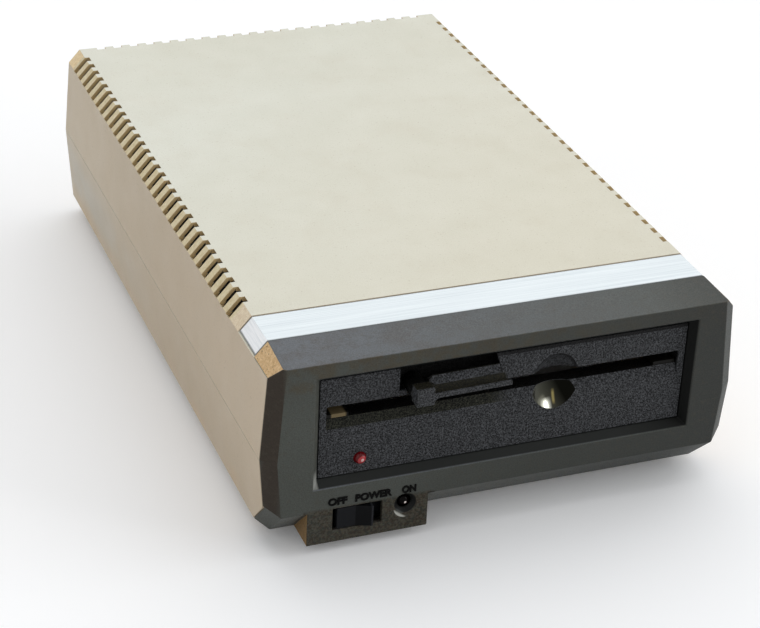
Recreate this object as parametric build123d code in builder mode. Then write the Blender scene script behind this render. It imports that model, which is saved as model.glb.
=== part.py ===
"""A slim external floppy disk drive: a beige case in two covers with a dark front, and a
half-height belt-driven disk mechanism inside.  Millimetres, +Z up, the front faces -Y, and the
origin is on the table, below the middle of the drive."""
import os
from math import cos, hypot, radians, sin

from build123d import *

# ---------------------------------------------------------------- driving dimensions: the case
rear_space = 103.5          # behind the mechanism, to the rear face
brow_height = 9.6           # the drive's bezel ends this far below the top
foot_height = 4.0           # the rubber feet lift the underside off the table
case_side = 22.45           # the drive's bezel to the case's widest line, the waist
shoulder_draft = 2.55       # the sides lean in by this from the waist to the shoulder
top_chamfer_run = 5.3       # chamfer between the sides and the top
top_chamfer_drop = 5.9
heel_draft = 2.65           # the sides lean in by this from the waist to the heel
heel_chamfer_run = 5.1      # chamfer between the sides and the underside
heel_height = 3.9
waist_height = 38.8         # above the underside
wall = 2.0                  # moulded wall of both covers
seam_gap = 0.35             # dark line between the two covers, at the waist
panel_gap = 0.2             # between the front and the covers

vent_count = 31             # slots across each top chamfer
vent_pitch = 8.0
vent_width = 3.95
vent_bite = 2.0             # how far a slot runs into the flat top
vent_start = 53.0           # front face to the middle of the first slot
vent_drop = 0.35            # the slots end this far below the shoulder
vent_undercut = 3.0         # the slots' ends slope away below the skin
relief_depth = 1.5          # thinned wall under the vented chamfers
relief_land = 0.85          # skin left between the thinned wall and the flat top
rear_notch_count = 21
rear_notch_pitch = 7.9
rear_notch_width = 3.9
rear_notch_bite = 2.3
rear_notch_height = 5.5

# ---------------------------------------------------------------- driving dimensions: the front
front_thickness = 5.0       # front plate, and the depth of its side bevels
bevel_inset = 5.55          # how far the bevels narrow the front face on each side
hood_depth = 20.8           # front face to the trim strip
hood_drop = 0.7             # the hood falls this much towards the front
chin_height = 14.6          # the front face ends here, above the underside
chin_run = 14.6             # and slopes back this far to the underside
chin_corner_run = 18.4      # front face to the chin's corner at the heel
strip_end = 40.2            # front face to the strip's rear edge
strip_recess = 1.0
strip_thickness = 0.8
strip_gap = 0.4
opening_border = 2.7        # bevelled border round the drive's own bezel
bezel_setback = 3.5         # front face to the bezel's face
tab_left = -79.6            # the switch tab fills part of the chin
tab_right = -31.0

# ---------------------------------------------------------------- driving dimensions: the bezel
bezel_overhang = 1.55       # the bezel stands out past the mechanism on each side
bezel_head = 11.7           # the bezel above its slot
bezel_bottom = 27.4         # above the underside
bezel_thickness = 9.0
bezel_gap = 0.4             # round the bezel in the front's opening
slot_margin = 2.55          # slot's end to the bezel's side
slot_bottom = 23.8          # above the bezel's lower edge
slot_height = 6.5
lip_height = 3.3            # chamfer below the slot
lip_depth = 2.2
scoop_x = 19.9              # thumb scoop, an ellipsoid's cap
scoop_z = 25.6              # above the bezel's lower edge
scoop_half_width = 9.8
scoop_half_height = 12.0
scoop_depth = 4.0
pocket_right = -1.8         # finger pocket above the lever
pocket_slant = 3.4
pocket_bottom = 32.2        # above the bezel's lower edge
pocket_depth = 6.5
pocket_round = 7.0          # radius round the lever's pivot
led_radius = 2.5
led_gap = 0.1
led_flange = 0.5
led_length = 7.5
led_lead = 0.5
drive_led_x = -58.2
drive_led_z = 6.1           # above the bezel's lower edge
drive_led_proud = 2.2

# ---------------------------------------------------------------- driving dimensions: the latch
lever_x = -36.65
lever_rise = 2.5            # the pivot lies this far above the slot
lever_proud = 5.6           # in front of the front face
lever_reach = 34.3          # pivot to the handle's tip
handle_rise = 1.2           # the open handle points up by this angle
handle_below = 0.3          # the handle's lip, below and above the pivot
handle_above = 1.4
foot_half = 3.4             # squared block at the pivot end
foot_lift = 0.5             # the block's middle above the pivot
foot_round = 2.2
lip_wall = 1.0
ridge_start = 3.6           # thumb ridge behind the lip, from the pivot
ridge_end = 32.4
ridge_base = 2.1            # the ridge's slope starts at this height
ridge_rise = 4.4
ridge_point = 2.2           # the ridge's end at the pivot comes to a point over this length
lever_shaft_radius = 1.6
lever_hub_radius = 4.0
cam_arm = 8.4
cam_radius = 2.0
cam_length = 5.0
cam_setback = 54.5          # front face to the cam's middle
cam_hub_radius = 3.0

# ---------------------------------------------------------------- driving dimensions: the switch
window_left = -69.4
window_right = -49.7
window_bottom = 5.1         # above the underside
window_top = 14.8
knob_width = 13.8
knob_rest_gap = 1.8
knob_clearance = 0.35       # above and below the knob
knob_flat = 7.5
knob_ridge = 0.8
knob_proud = 2.0
knob_sink = 0.2
knob_depth = 5.0
knob_stem = 4.0
knob_stem_height = 2.4
knob_stem_length = 3.0
switch_travel = 2.8
switch_margin = 2.5         # switch body past the window at each end
switch_depth = 10.0
power_led_x = -40.3
power_led_z = 11.8          # above the underside
power_led_sink = 0.9        # its tip lies this far behind the front face
power_led_hole = 4.6

# ---------------------------------------------------------------- driving dimensions: the inside
board_stand = 2.6           # main board above the case floor
board_thickness = 1.6
board_overhang = 2.0        # the main board stands out past the mechanism on each side
board_front = 26.0          # front face to the board's front edge
screw_post_gap = 2.5        # between the mechanism and the case's screw posts
screw_post_radius = 4.3
screw_post_top = 30.0       # above the underside
screw_post_inset = 36.0     # from the front and rear faces
case_screw_radius = 1.75
case_screw_head = 3.3
case_screw_head_height = 2.2
case_screw_pocket = 14.0
case_screw_bite = 11.0
mechanism_depth = 189.5
mount_post_side = 7.0       # mechanism's side to its mounting posts
mount_post_radius = 4.0
mount_post_inset = 20.0     # chassis front to the first posts
mount_post_span = 118.0
mount_screw_radius = 1.5
mount_screw_head = 2.8
mount_screw_head_height = 1.8
mount_screw_bite = 9.0
foot_pad_side = 21.25       # the underside's edge to the middle of a foot
foot_pad_radius = 7.0
foot_pad_inset = 52.0
foot_pad_sink = 0.8
base_vent_count = 11        # air slots through the underside, in two rows
base_vent_pitch = 9.0
base_vent_width = 3.2
base_vent_length = 34.0
base_vent_row = 48.0        # middle of the case to the middle of each row
stand_side = 4.0            # main board's edge to its screws
stand_front_inset = 55.0
stand_rear_inset = 30.0
stand_radius = 3.0
rail_thickness = 3.0
rail_rise = 9.2             # the side rails end this far above the disk's path
flange_width = 13.0
flange_half = 6.0
deck_thickness = 3.0
jacket_half = 66.7          # half the width of a five and a quarter inch disk's jacket
jacket_clearance = 0.6
jacket_inset = 4.0          # an inserted disk's edge lies this far behind the bezel's face
guide_lap = 4.2             # the guides' shelves reach this far under the jacket
guide_thickness = 2.7
path_step = 1.8             # the disk slides this far above the slot's lower edge
path_height = 3.5           # and this far above the deck
guide_gap = 4.8             # height of the disk's path
guide_lip = 2.0
guide_nose_setback = 2.0    # the shelves' noses reach into the slot, this far behind its front
spindle_radius = 4.0
spindle_flange = 19.0
flange_sink = 0.1           # the spindle stands this far below the disk's path
hub_height = 2.4
hub_recess_radius = 14.8
hub_recess = 2.0
cone_radius = 14.1
cone_taper = 1.5
cone_height = 6.0
cone_drop = 1.0             # the closed cone enters the spindle's recess
cone_shaft_radius = 3.0
cone_spring_radius = 6.2
cone_spring_wire = 0.5
cone_spring_turns = 3
bearing_radius = 9.0
bearing_width = 4.0
housing_radius = 12.0
housing_drop = 12.0         # the spindle's housing hangs this far below the deck
running_gap = 0.05          # radial gap of shafts in their bearings
fixed_gap = 0.02            # round pins and rods that are held fast
fastener_gap = 0.2
moving_gap = 0.3            # between moving pieces
belt_thickness = 0.7
belt_width = 3.4
pulley_radius = 30.0
pulley_rim = 3.0
motor_pulley_radius = 6.5
pulley_width = 4.6
pulley_gap = 0.5            # below the spindle's housing
pulley_lift = 0.4           # above the rails' lower edge
motor_x = -50.0
motor_inset = 24.05         # the mechanism's rear edge to the two motors
motor_radius = 17.0
motor_height = 17.5
motor_shaft_radius = 1.5
stepper_x = 45.0
stepper_radius = 19.0
stepper_height = 16.5
capstan_radius = 6.5
capstan_height = 2.6
band_thickness = 0.2
track_zero_radius = 57.15   # the outermost track of a disk
head_travel = 20.6
head_half = 4.0
rod_x = 18.0
rod_radius = 2.5
rod_drop = 3.5              # the guide rods lie this far below the deck
rod_boss = 4.0
carriage_half = 22.0
carriage_height = 10.0
carriage_front = 9.4        # the carriage reaches this far in front of the head
carriage_back = 36.6
carriage_gap = 1.4          # carriage to the ends of its window in the deck
arm_bar_width = 5.0
arm_bar_height = 2.5
arm_bar_length = 38.5
pad_pivot = 33.6            # head to the pad arm's hinge
pad_pivot_rise = 6.5        # above the disk's path
pad_open_angle = 7.5
pad_arm_half = 5.0
pad_arm_thickness = 2.0
pad_radius = 2.6
hinge_pin_radius = 1.2
hinge_cheek = 2.4
clamp_pivot = 31.0          # behind the inserted disk
clamp_pivot_rise = 7.4      # above the disk's path
clamp_open_angle = 4.3      # the clamp arm stands this far open at rest
clamp_thickness = 2.0
clamp_bar_inner = 28.0
clamp_bar_outer = 32.0
clamp_front = 51.0          # front face to the clamp arm's front edge
clamp_plate_half = 20.0
clamp_pin_radius = 1.5
knuckle_radius = 3.4
ear_thickness = 3.0
beam_height = 2.5
beam_width = 10.0
beam_setback = 32.0         # front face to the beam that carries the lever's shaft
lug_half = 4.0
servo_lift = 2.0            # servo board above the rails
servo_inset = 42.0          # chassis rear to the servo board's front edge
rear_port_width = 40.0
rear_port_height = 13.0
rear_port_depth = 18.0
rear_port_x = (-64.0, -18.0)
socket_width = 33.0
socket_height = 8.4
socket_depth = 12.0
contact_rows = ((1.68, 7), (-1.68, 6))     # height above the socket's middle, and how many
contact_radius = 0.5
contact_pitch = 4.2
contact_length = 6.5
jack_x = 62.0
jack_half = 6.0
jack_height = 11.5
jack_depth = 13.0
jack_nose = 4.8
jack_bore = 3.1
jack_pin = 1.0
select_x = (23.0, 31.5)
select_size = 4.0
select_travel = 3.0
select_z = 2.6              # above the main board
rear_sink = 0.5             # the rear sockets lie this far inside the rear face

# ---------------------------------------------------------------- driving dimensions: small parts
lever_grip = 8.0            # length of the shaft held in the lever
ledge_rise = 0.5            # floor of the hollow behind the lever's lip
ledge_bend = 1.0
ridge_step = 0.6
motor_grip = 4.0
bearing_step = 2.0          # shoulder between the two bearings
spindle_collar = 5.5
pulley_hollow = 1.4
hinge_post = 2.8
carriage_side = 2.0         # carriage to the sides of its window
carriage_lift = 0.8         # the carriage's arm clears the deck by this
pad_gap = 0.75              # closed pad above the disk's lower face
chip_stand = 0.8
chip_height = 3.2
chip_leg = 0.6
chip_length = 22.0
chip_width = 7.6
chip_row = 6.0
chip_places = (             # x, depth behind the front face, length, width
    (-20.0, 60.0, 52.0, 15.0), (-20.0, 90.0, 36.0, 15.0), (-20.0, 120.0, 52.0, 15.0),
    (40.0, 60.0, 36.0, 15.0), (40.0, 90.0, 36.0, 15.0), (40.0, 120.0, 24.0, 15.0),
    (-45.0, 165.0, 22.0, 7.6), (-15.0, 165.0, 22.0, 7.6), (15.0, 165.0, 22.0, 7.6),
    (45.0, 165.0, 22.0, 7.6))
capacitor_places = ((20.0, 60.5), (46.0, 60.5), (33.0, 37.5))    # x, and in front of the rear face
capacitor_radius = 11.0
capacitor_height = 30.0
heat_sink_x = (-70.0, -10.0)
heat_sink_inset = 65.5      # rear face to the heat sink's front
heat_sink_plate = 2.5
heat_sink_fin = 1.6
heat_sink_fins = 9
heat_sink_depth = 12.0
heat_sink_height = 38.0
regulator_x = (-56.0, -26.0)
regulator_half = 5.2
regulator_depth = 4.6
regulator_height = 19.0
jack_reach = 10.0
select_depth = 8.0
select_groove = 4.0
servo_foot = 3.0
servo_bite = 5.0
servo_screw_radius = 0.9
servo_screw_head = 2.0
servo_screw_head_height = 1.4
servo_chip_x = (-50.0, -22.0, 6.0)
ribbon_middle = 48.0
ribbon_width = 30.0
ribbon_plug = 6.0
ribbon_reach = 16.0
ribbon_bend = 8.0
ribbon_thickness = 0.9
index_x = 42.0
sensor_half = 3.5

# ---------------------------------------------------------------- places that follow
bezel_height = slot_bottom + slot_height + bezel_head
case_height = bezel_bottom + bezel_height + brow_height
case_depth = bezel_setback + bezel_thickness + mechanism_depth + rear_space
front_y = -(case_depth - lever_proud) / 2
rear_y = front_y + case_depth
base_z = foot_height
top_z = base_z + case_height
shoulder_z = top_z - top_chamfer_drop
waist_z = base_z + waist_height
heel_z = base_z + heel_height
floor_z = base_z + wall
ceiling_z = top_z - wall
inner = jacket_half + jacket_clearance + guide_thickness      # inner faces of the rails
mechanism_half = inner + rail_thickness
bezel_width = 2 * (mechanism_half + bezel_overhang)
slot_half = bezel_width / 2 - slot_margin
waist_half = bezel_width / 2 + case_side
shoulder_half = waist_half - shoulder_draft
top_half = shoulder_half - top_chamfer_run
heel_half = waist_half - heel_draft
base_half = heel_half - heel_chamfer_run
wide = waist_half + wall    # past the case's sides, for cuts that run right across
board_half = mechanism_half + board_overhang
screw_post_x = mechanism_half + screw_post_gap + screw_post_radius
mount_post_x = mechanism_half - mount_post_side
foot_pad_x = base_half - foot_pad_side
stand_x = board_half - stand_side
board_z = floor_z + board_stand
board_top = board_z + board_thickness
board_rear = rear_y - wall - panel_gap
post_z = base_z + screw_post_top

bezel_z = base_z + bezel_bottom
bezel_top = bezel_z + bezel_height
bezel_y = front_y + bezel_setback
chassis_y = bezel_y + bezel_thickness
chassis_rear = chassis_y + mechanism_depth
slot_z = bezel_z + slot_bottom
slot_top = slot_z + slot_height
lever_axis = slot_top + lever_rise
path_z = slot_z + path_step
path_top = path_z + guide_gap
deck_top = path_z - path_height
deck_z = deck_top - deck_thickness
rails_top = path_top + rail_rise
spindle_y = bezel_y + jacket_inset + jacket_half
disk_end_y = spindle_y + jacket_half
head_y = spindle_y + track_zero_radius
motor_y = chassis_rear - motor_inset
housing_z = deck_z - housing_drop
pulley_top = housing_z - pulley_gap
pulley_z = pulley_top - pulley_width
rails_z = pulley_z - pulley_lift
cam_y = front_y + cam_setback
knob_x = window_left + knob_rest_gap
switch_y = front_y + knob_depth + panel_gap
carriage_y = (head_y - carriage_front, head_y + carriage_back)
rod_z = deck_z - rod_drop
rod_y = (carriage_y[0] - head_travel - carriage_gap - rod_boss,
         carriage_y[1] + carriage_gap + rod_boss)
window_y = (rod_y[0] + rod_boss, rod_y[1] - rod_boss)
capstan_z = (deck_top + 2 * moving_gap, deck_top + 2 * moving_gap + capstan_height)
band_x = stepper_x - capstan_radius - moving_gap
pad_pivot_y = head_y + pad_pivot
pad_pivot_z = path_z + pad_pivot_rise
clamp_pivot_y = disk_end_y + clamp_pivot
clamp_pivot_z = path_top + clamp_pivot_rise
servo_z = rails_top + servo_lift
servo_y = (chassis_rear - servo_inset, chassis_rear)
chin_z = base_z + chin_height
chin_rise = chin_height / chin_run
chin_back = front_y + chin_run
slab_back = chin_corner_run + heel_height / chin_rise
slab_y = front_y + slab_back
behind_plate = front_y + front_thickness
cover_y = behind_plate + panel_gap


# ---------------------------------------------------------------- helpers
def across(y):
    """The upright plane at depth y whose normal points to the front."""
    return Plane.XZ.offset(-y)


def span_middle(spans):
    """The middle of a box given by its two limits on each axis."""
    return tuple((low + high) / 2 for low, high in spans)


def sided(side, near, far):
    """The limits of a span on one side of the middle, in rising order."""
    return tuple(sorted((side * near, side * far)))


def block(x, y, z, mode=Mode.ADD):
    """A straight block, given by its two limits on each axis."""
    with Locations(span_middle((x, y, z))):
        Box(*(high - low for low, high in (x, y, z)), mode=mode)


def rod(x, y, z, radius, mode=Mode.ADD):
    """A round bar along the one axis that is given by its two limits."""
    spans = [value if isinstance(value, tuple) else (value, value) for value in (x, y, z)]
    lengths = [high - low for low, high in spans]
    turn = ((0, 90, 0), (90, 0, 0), (0, 0, 0))[lengths.index(max(lengths))]
    with Locations(span_middle(spans)):
        Cylinder(radius, max(lengths), rotation=turn, mode=mode)


def outline(points, plane, length, mode=Mode.ADD):
    """A straight-sided profile drawn on a plane and drawn out along its normal."""
    with BuildSketch(plane) as profile:
        with BuildLine():
            Polyline(*points, close=True)
        make_face()
    extrude(profile.sketch, amount=length, mode=mode)


def save(part, name):
    """Label a finished piece and write it as a file of its own."""
    part.label = name
    export_step(part, f"parts/{name}.step")


def case_bar(y, grow=0.0, mode=Mode.ADD):
    """A length of the case's cross-section between two depths; grow moves its sides outwards."""
    right = [(base_half, base_z), (heel_half, heel_z), (waist_half, waist_z),
             (shoulder_half, shoulder_z), (top_half, top_z)]
    left = [(-x, z) for x, z in reversed(right)]
    with BuildSketch(across(y[1])) as section:
        with BuildLine():
            Polyline(*right, *left, close=True)
        make_face()
        if grow:
            offset(amount=grow, kind=Kind.INTERSECTION)
    extrude(section.sketch, amount=y[1] - y[0], mode=mode)


def case_skin(y, outer, inner, low):
    """A piece of the case's skin above a height, between two offsets of its section."""
    with BuildPart() as skin:
        case_bar(y, outer)
        case_bar((y[0] - wall, y[1] + wall), inner, Mode.SUBTRACT)
        block((-wide - wall, wide + wall), (y[0] - wall, y[1] + wall), (0, low), Mode.SUBTRACT)
    return skin.part


def facing_out(a, b, c):
    """The plane through three points, turned to face away from the middle of the case."""
    a, b, c = Vector(*a), Vector(*b), Vector(*c)
    plane = Plane(origin=a, z_dir=(b - a).cross(c - a))
    middle = Vector(0, (front_y + rear_y) / 2, (base_z + top_z) / 2)
    return -plane if plane.z_dir.dot(middle - a) > 0 else plane


def front_planes():
    """The planes that cut the front: hood, chin, and two bevels and a chin corner each side."""
    lower_slope = heel_draft / (waist_height - heel_height)
    face_waist = waist_half - bevel_inset
    face_chin = face_waist - lower_slope * (waist_height - chin_height)
    yield facing_out((0, front_y, top_z - hood_drop), (1, front_y, top_z - hood_drop),
                     (0, front_y + hood_depth, top_z))
    yield facing_out((0, front_y, chin_z), (1, front_y, chin_z), (0, chin_back, base_z))
    for side in (-1, 1):
        face = (side * face_waist, front_y, waist_z)
        edge = (side * waist_half, behind_plate, waist_z)
        yield facing_out(face, edge, (side * shoulder_half, behind_plate, shoulder_z))
        yield facing_out(face, edge, (side * heel_half, behind_plate, heel_z))
        yield facing_out((side * face_chin, front_y, chin_z), (side * base_half, chin_back, base_z),
                         (side * heel_half, front_y + chin_corner_run, heel_z))


def frame_loft(y, sizes, mode):
    """A four-sided funnel round the bezel's middle, between two depths, by its margins."""
    with BuildSketch(across(y[0])) as near:
        with Locations((0, bezel_z + bezel_height / 2)):
            Rectangle(bezel_width + 2 * sizes[0], bezel_height + 2 * sizes[0])
    with BuildSketch(across(y[1])) as far:
        with Locations((0, bezel_z + bezel_height / 2)):
            Rectangle(bezel_width + 2 * sizes[1], bezel_height + 2 * sizes[1])
    loft([near.sketch.face(), far.sketch.face()], mode=mode)


def cone_along_y(x, z, y, radii, mode):
    """A round taper along the case between two depths."""
    with BuildSketch(across(y[0])) as near:
        with Locations((x, z)):
            Circle(radii[0])
    with BuildSketch(across(y[1])) as far:
        with Locations((x, z)):
            Circle(radii[1])
    loft([near.sketch.face(), far.sketch.face()], mode=mode)


def corner_places(x, y_front, y_rear):
    """Four places, left and right, front and rear."""
    return [(side * x, y) for side in (-1, 1) for y in (y_front, y_rear)]


os.makedirs("parts", exist_ok=True)
case_screw_places = corner_places(screw_post_x, front_y + screw_post_inset,
                                  rear_y - screw_post_inset)
mount_places = corner_places(mount_post_x, chassis_y + mount_post_inset,
                             chassis_y + mount_post_inset + mount_post_span)
pad_places = corner_places(foot_pad_x, front_y + foot_pad_inset, rear_y - foot_pad_inset)
stand_places = corner_places(stand_x, front_y + stand_front_inset, rear_y - stand_rear_inset)
servo_places = corner_places(mechanism_half - rail_thickness / 2, servo_y[0] + servo_foot,
                             servo_y[1] - servo_foot)

# ================================================================ the front
with BuildPart() as hood_hollow:
    case_bar((behind_plate, slab_y), -wall)
    block((-wide, wide), (front_y, slab_y + wall), (0, shoulder_z - wall), Mode.SUBTRACT)

with BuildPart() as front_fascia:
    case_bar((front_y, slab_y))
    for plane in front_planes():
        split(bisect_by=plane, keep=Keep.BOTTOM)
    # The switch tab fills the chin, flush with the front face and the underside.
    outline([(front_y, base_z), (chin_back + wall, base_z), (chin_back + wall, base_z + wall),
             (front_y, chin_z + wall)], Plane.YZ.offset(tab_left), tab_right - tab_left)
    # Behind the plate only the hood is left, as a shell.
    outline([(behind_plate, base_z + chin_rise * (slab_y - behind_plate)), (slab_y, base_z),
             (slab_y + wall, base_z - wall), (slab_y + wall, shoulder_z),
             (behind_plate, shoulder_z)], Plane.YZ.offset(-wide), 2 * wide, Mode.SUBTRACT)
    add(hood_hollow.part, mode=Mode.SUBTRACT)
    block((-wide, wide), (front_y + hood_depth, rear_y), (shoulder_z - wall, top_z + wall),
          Mode.SUBTRACT)
    # Opening for the drive, with a bevelled border.
    frame_loft((front_y, bezel_y), (bezel_gap + opening_border, bezel_gap), Mode.SUBTRACT)
    block((-bezel_width / 2 - bezel_gap, bezel_width / 2 + bezel_gap), (bezel_y, slab_y),
          (bezel_z - bezel_gap, bezel_top + bezel_gap), Mode.SUBTRACT)
    # Hollow of the switch tab, the switch's window and the countersunk lamp hole.
    block((tab_left + wall, tab_right - wall), (front_y + wall, slab_y),
          (floor_z, bezel_z - bezel_gap - opening_border - wall), Mode.SUBTRACT)
    block((window_left, window_right), (front_y - wall, front_y + 2 * wall),
          (base_z + window_bottom, base_z + window_top), Mode.SUBTRACT)
    cone_along_y(power_led_x, base_z + power_led_z, (front_y, front_y + wall),
                 (power_led_hole, led_radius + led_gap), Mode.SUBTRACT)
save(front_fascia.part, "front_fascia")

# ================================================================ the covers
chamfer_length = hypot(top_chamfer_run, top_chamfer_drop)
vent_places = [front_y + vent_start + vent_pitch * number for number in range(vent_count)]


def cover(cut_low, cut_high):
    """The shell of one cover: the case's section, hollow, with its back wall."""
    case_bar((cover_y, rear_y))
    case_bar((cover_y - wall, rear_y - wall), -wall, Mode.SUBTRACT)
    block((-wide, wide), (front_y, rear_y + wall), (cut_low, cut_high), Mode.SUBTRACT)


def vent_profile(side):
    """Cross-section of a vent slot: square to the chamfer below, undercut above."""
    reach = vent_undercut
    step = (reach * top_chamfer_drop / chamfer_length, reach * top_chamfer_run / chamfer_length)
    low = (shoulder_half, shoulder_z - vent_drop)
    end = (top_half - vent_bite, top_z)
    points = [low, (low[0] - step[0], low[1] - step[1]), (end[0] - reach, end[1] - reach), end,
              (end[0], top_z + wall), (wide, top_z + wall), (low[0] + step[0], low[1] + step[1])]
    return [(side * x, z) for x, z in points]


def relief_profile(side):
    """Cross-section of the thinner wall under the vents, parallel to the chamfer."""
    edge = top_half - relief_depth * chamfer_length / top_chamfer_drop
    high = (edge + relief_land, top_z - relief_land * top_chamfer_drop / top_chamfer_run)
    points = [high, (edge + top_chamfer_run, shoulder_z), (high[0], shoulder_z)]
    return [(side * x, z) for x, z in points]


strip_bed = case_skin((front_y + hood_depth, front_y + strip_end), wall, -strip_recess, shoulder_z)

with BuildPart() as top_cover:
    cover(0, waist_z)
    # The hood takes the place of the top in front of the trim strip.
    block((-wide, wide), (front_y, front_y + hood_depth + panel_gap),
          (shoulder_z - panel_gap, top_z + wall), Mode.SUBTRACT)
    add(strip_bed, mode=Mode.SUBTRACT)
    for x, y in case_screw_places:
        rod(x, y, (post_z, ceiling_z), screw_post_radius)
        rod(x, y, (post_z - wall, post_z + case_screw_bite + wall), case_screw_radius + fixed_gap,
            Mode.SUBTRACT)
    first, last = vent_places[0] - vent_pitch / 2, vent_places[-1] + vent_pitch / 2
    for side in (-1, 1):
        outline(relief_profile(side), across(last), last - first, Mode.SUBTRACT)
        for y in vent_places:
            outline(vent_profile(side), across(y + vent_width / 2), vent_width, Mode.SUBTRACT)
    for number in range(rear_notch_count):
        middle = (number - (rear_notch_count - 1) / 2) * rear_notch_pitch
        block((middle - rear_notch_width / 2, middle + rear_notch_width / 2),
              (rear_y - rear_notch_bite, rear_y + wall), (top_z - rear_notch_height, top_z + wall),
              Mode.SUBTRACT)
save(top_cover.part, "top_cover")

trim = case_skin((front_y + hood_depth + strip_gap, front_y + strip_end - strip_gap),
                 strip_thickness - strip_recess, -strip_recess, shoulder_z + strip_gap)
save(trim, "trim_strip")

select_window = (select_x[0] - moving_gap, select_x[-1] + select_size + select_travel + moving_gap)
select_level = (board_top + select_z, board_top + select_z + select_size)

with BuildPart() as bottom_cover:
    cover(waist_z - seam_gap, top_z + wall)
    # The front's chin takes the place of the lower front edge.
    joint_y = slab_y + 2 * panel_gap
    outline([(front_y, base_z + chin_rise * (joint_y - front_y)), (front_y, base_z - wall),
             (joint_y + wall / chin_rise, base_z - wall)], Plane.YZ.offset(-wide), 2 * wide,
            Mode.SUBTRACT)
    for x, y in case_screw_places:
        rod(x, y, (floor_z, post_z), screw_post_radius)
        rod(x, y, (base_z, post_z), case_screw_radius + fastener_gap, Mode.SUBTRACT)
        rod(x, y, (base_z, base_z + case_screw_pocket), case_screw_head + fastener_gap,
            Mode.SUBTRACT)
    for x, y in mount_places:
        rod(x, y, (floor_z, rails_z), mount_post_radius)
        rod(x, y, (rails_z - mount_screw_bite, rails_z), mount_screw_radius + fixed_gap,
            Mode.SUBTRACT)
    for x, y in stand_places:
        rod(x, y, (floor_z, board_z), stand_radius)
        rod(x, y, (base_z + wall / 2, board_z), mount_screw_radius + fixed_gap, Mode.SUBTRACT)
    for x, y in pad_places:
        rod(x, y, (base_z, base_z + foot_pad_sink), foot_pad_radius + panel_gap, Mode.SUBTRACT)
    for row in (-base_vent_row, base_vent_row):
        with Locations((0, row, base_z + wall / 2)):
            with GridLocations(base_vent_pitch, 0, base_vent_count, 1):
                Box(base_vent_width, base_vent_length, 2 * wall, mode=Mode.SUBTRACT)
    # Openings in the back wall for the sockets and the drive-number switches.
    for x in rear_port_x:
        block((x - rear_port_width / 2 - panel_gap, x + rear_port_width / 2 + panel_gap),
              (rear_y - 2 * wall, rear_y + wall),
              (board_top - panel_gap, board_top + rear_port_height + panel_gap), Mode.SUBTRACT)
    rod(jack_x, (rear_y - 2 * wall, rear_y + wall), board_top + jack_height / 2,
        jack_nose + panel_gap, Mode.SUBTRACT)
    block(select_window, (rear_y - 2 * wall, rear_y + wall),
          (select_level[0] - moving_gap, select_level[1] + moving_gap), Mode.SUBTRACT)
save(bottom_cover.part, "bottom_cover")

with BuildPart() as case_feet:
    for x, y in pad_places:
        rod(x, y, (0, base_z + foot_pad_sink), foot_pad_radius)
save(case_feet.part, "case_feet")

with BuildPart() as case_screws:
    head_z = base_z + case_screw_pocket
    for x, y in case_screw_places:
        rod(x, y, (head_z - case_screw_head_height, head_z), case_screw_head)
        rod(x, y, (head_z, post_z + case_screw_bite), case_screw_radius)
save(case_screws.part, "case_screws")

# ================================================================ the drive's bezel and lever
scoop_round = (scoop_half_width**2 + scoop_depth**2) / (2 * scoop_depth)
scoop_tall = scoop_half_height * scoop_round / scoop_half_width
scoop_plane = Plane(origin=(scoop_x, bezel_y + scoop_depth - scoop_round, bezel_z + scoop_z),
                    x_dir=(1, 0, 0), z_dir=(0, -1, 0))
pocket_z = bezel_z + pocket_bottom
pocket_y = bezel_y + pocket_depth
lamp_at = (drive_led_x, bezel_z + drive_led_z)

with BuildPart() as drive_bezel:
    block((-bezel_width / 2, bezel_width / 2), (bezel_y, chassis_y), (bezel_z, bezel_top))
    block((-slot_half, slot_half), (bezel_y, chassis_y), (slot_z, slot_top), Mode.SUBTRACT)
    outline([(bezel_y, slot_z - lip_height), (bezel_y + lip_depth, slot_z), (bezel_y, slot_z)],
            Plane.YZ.offset(-slot_half), 2 * slot_half, Mode.SUBTRACT)
    # Thumb scoop: a hollow of revolution about an upright axis in front of the face.
    with BuildSketch(scoop_plane) as scoop:
        Ellipse(scoop_round, scoop_tall)
        with Locations((-scoop_round, 0)):
            Rectangle(2 * scoop_round, 2 * scoop_tall, mode=Mode.SUBTRACT)
    revolve(scoop.sketch, axis=Axis(scoop_plane.origin, (0, 0, 1)), mode=Mode.SUBTRACT)
    # Finger pocket above the lever, round at the lever's pivot and open at the top.
    with BuildSketch(across(pocket_y)) as pocket:
        with BuildLine():
            Polyline((lever_x, pocket_z), (pocket_right, pocket_z),
                     (pocket_right - pocket_slant, bezel_top), (lever_x, bezel_top), close=True)
        make_face()
        with Locations((lever_x, lever_axis)):
            Circle(pocket_round)
        with Locations((lever_x - pocket_round / 2, (lever_axis + bezel_top) / 2)):
            Rectangle(pocket_round, bezel_top - lever_axis)
        with Locations((lever_x, pocket_z - pocket_round)):
            Rectangle(4 * pocket_round, 2 * pocket_round, mode=Mode.SUBTRACT)
        with Locations((lever_x, lever_axis)):
            Circle(lever_hub_radius + moving_gap)
    extrude(pocket.sketch, amount=pocket_depth, mode=Mode.SUBTRACT)
    rod(lever_x, (pocket_y - wall, chassis_y + wall), lever_axis, lever_shaft_radius + running_gap,
        Mode.SUBTRACT)
    rod(lamp_at[0], (bezel_y - wall, chassis_y + wall), lamp_at[1], led_radius + led_gap,
        Mode.SUBTRACT)
save(drive_bezel.part, "drive_bezel")


def lamp(x, z, tip_y):
    """A round lamp that lies along the case, with a domed tip."""
    rod(x, (tip_y + led_radius, tip_y + led_length), z, led_radius)
    with Locations((x, tip_y + led_radius, z)):
        Sphere(led_radius)


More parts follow.
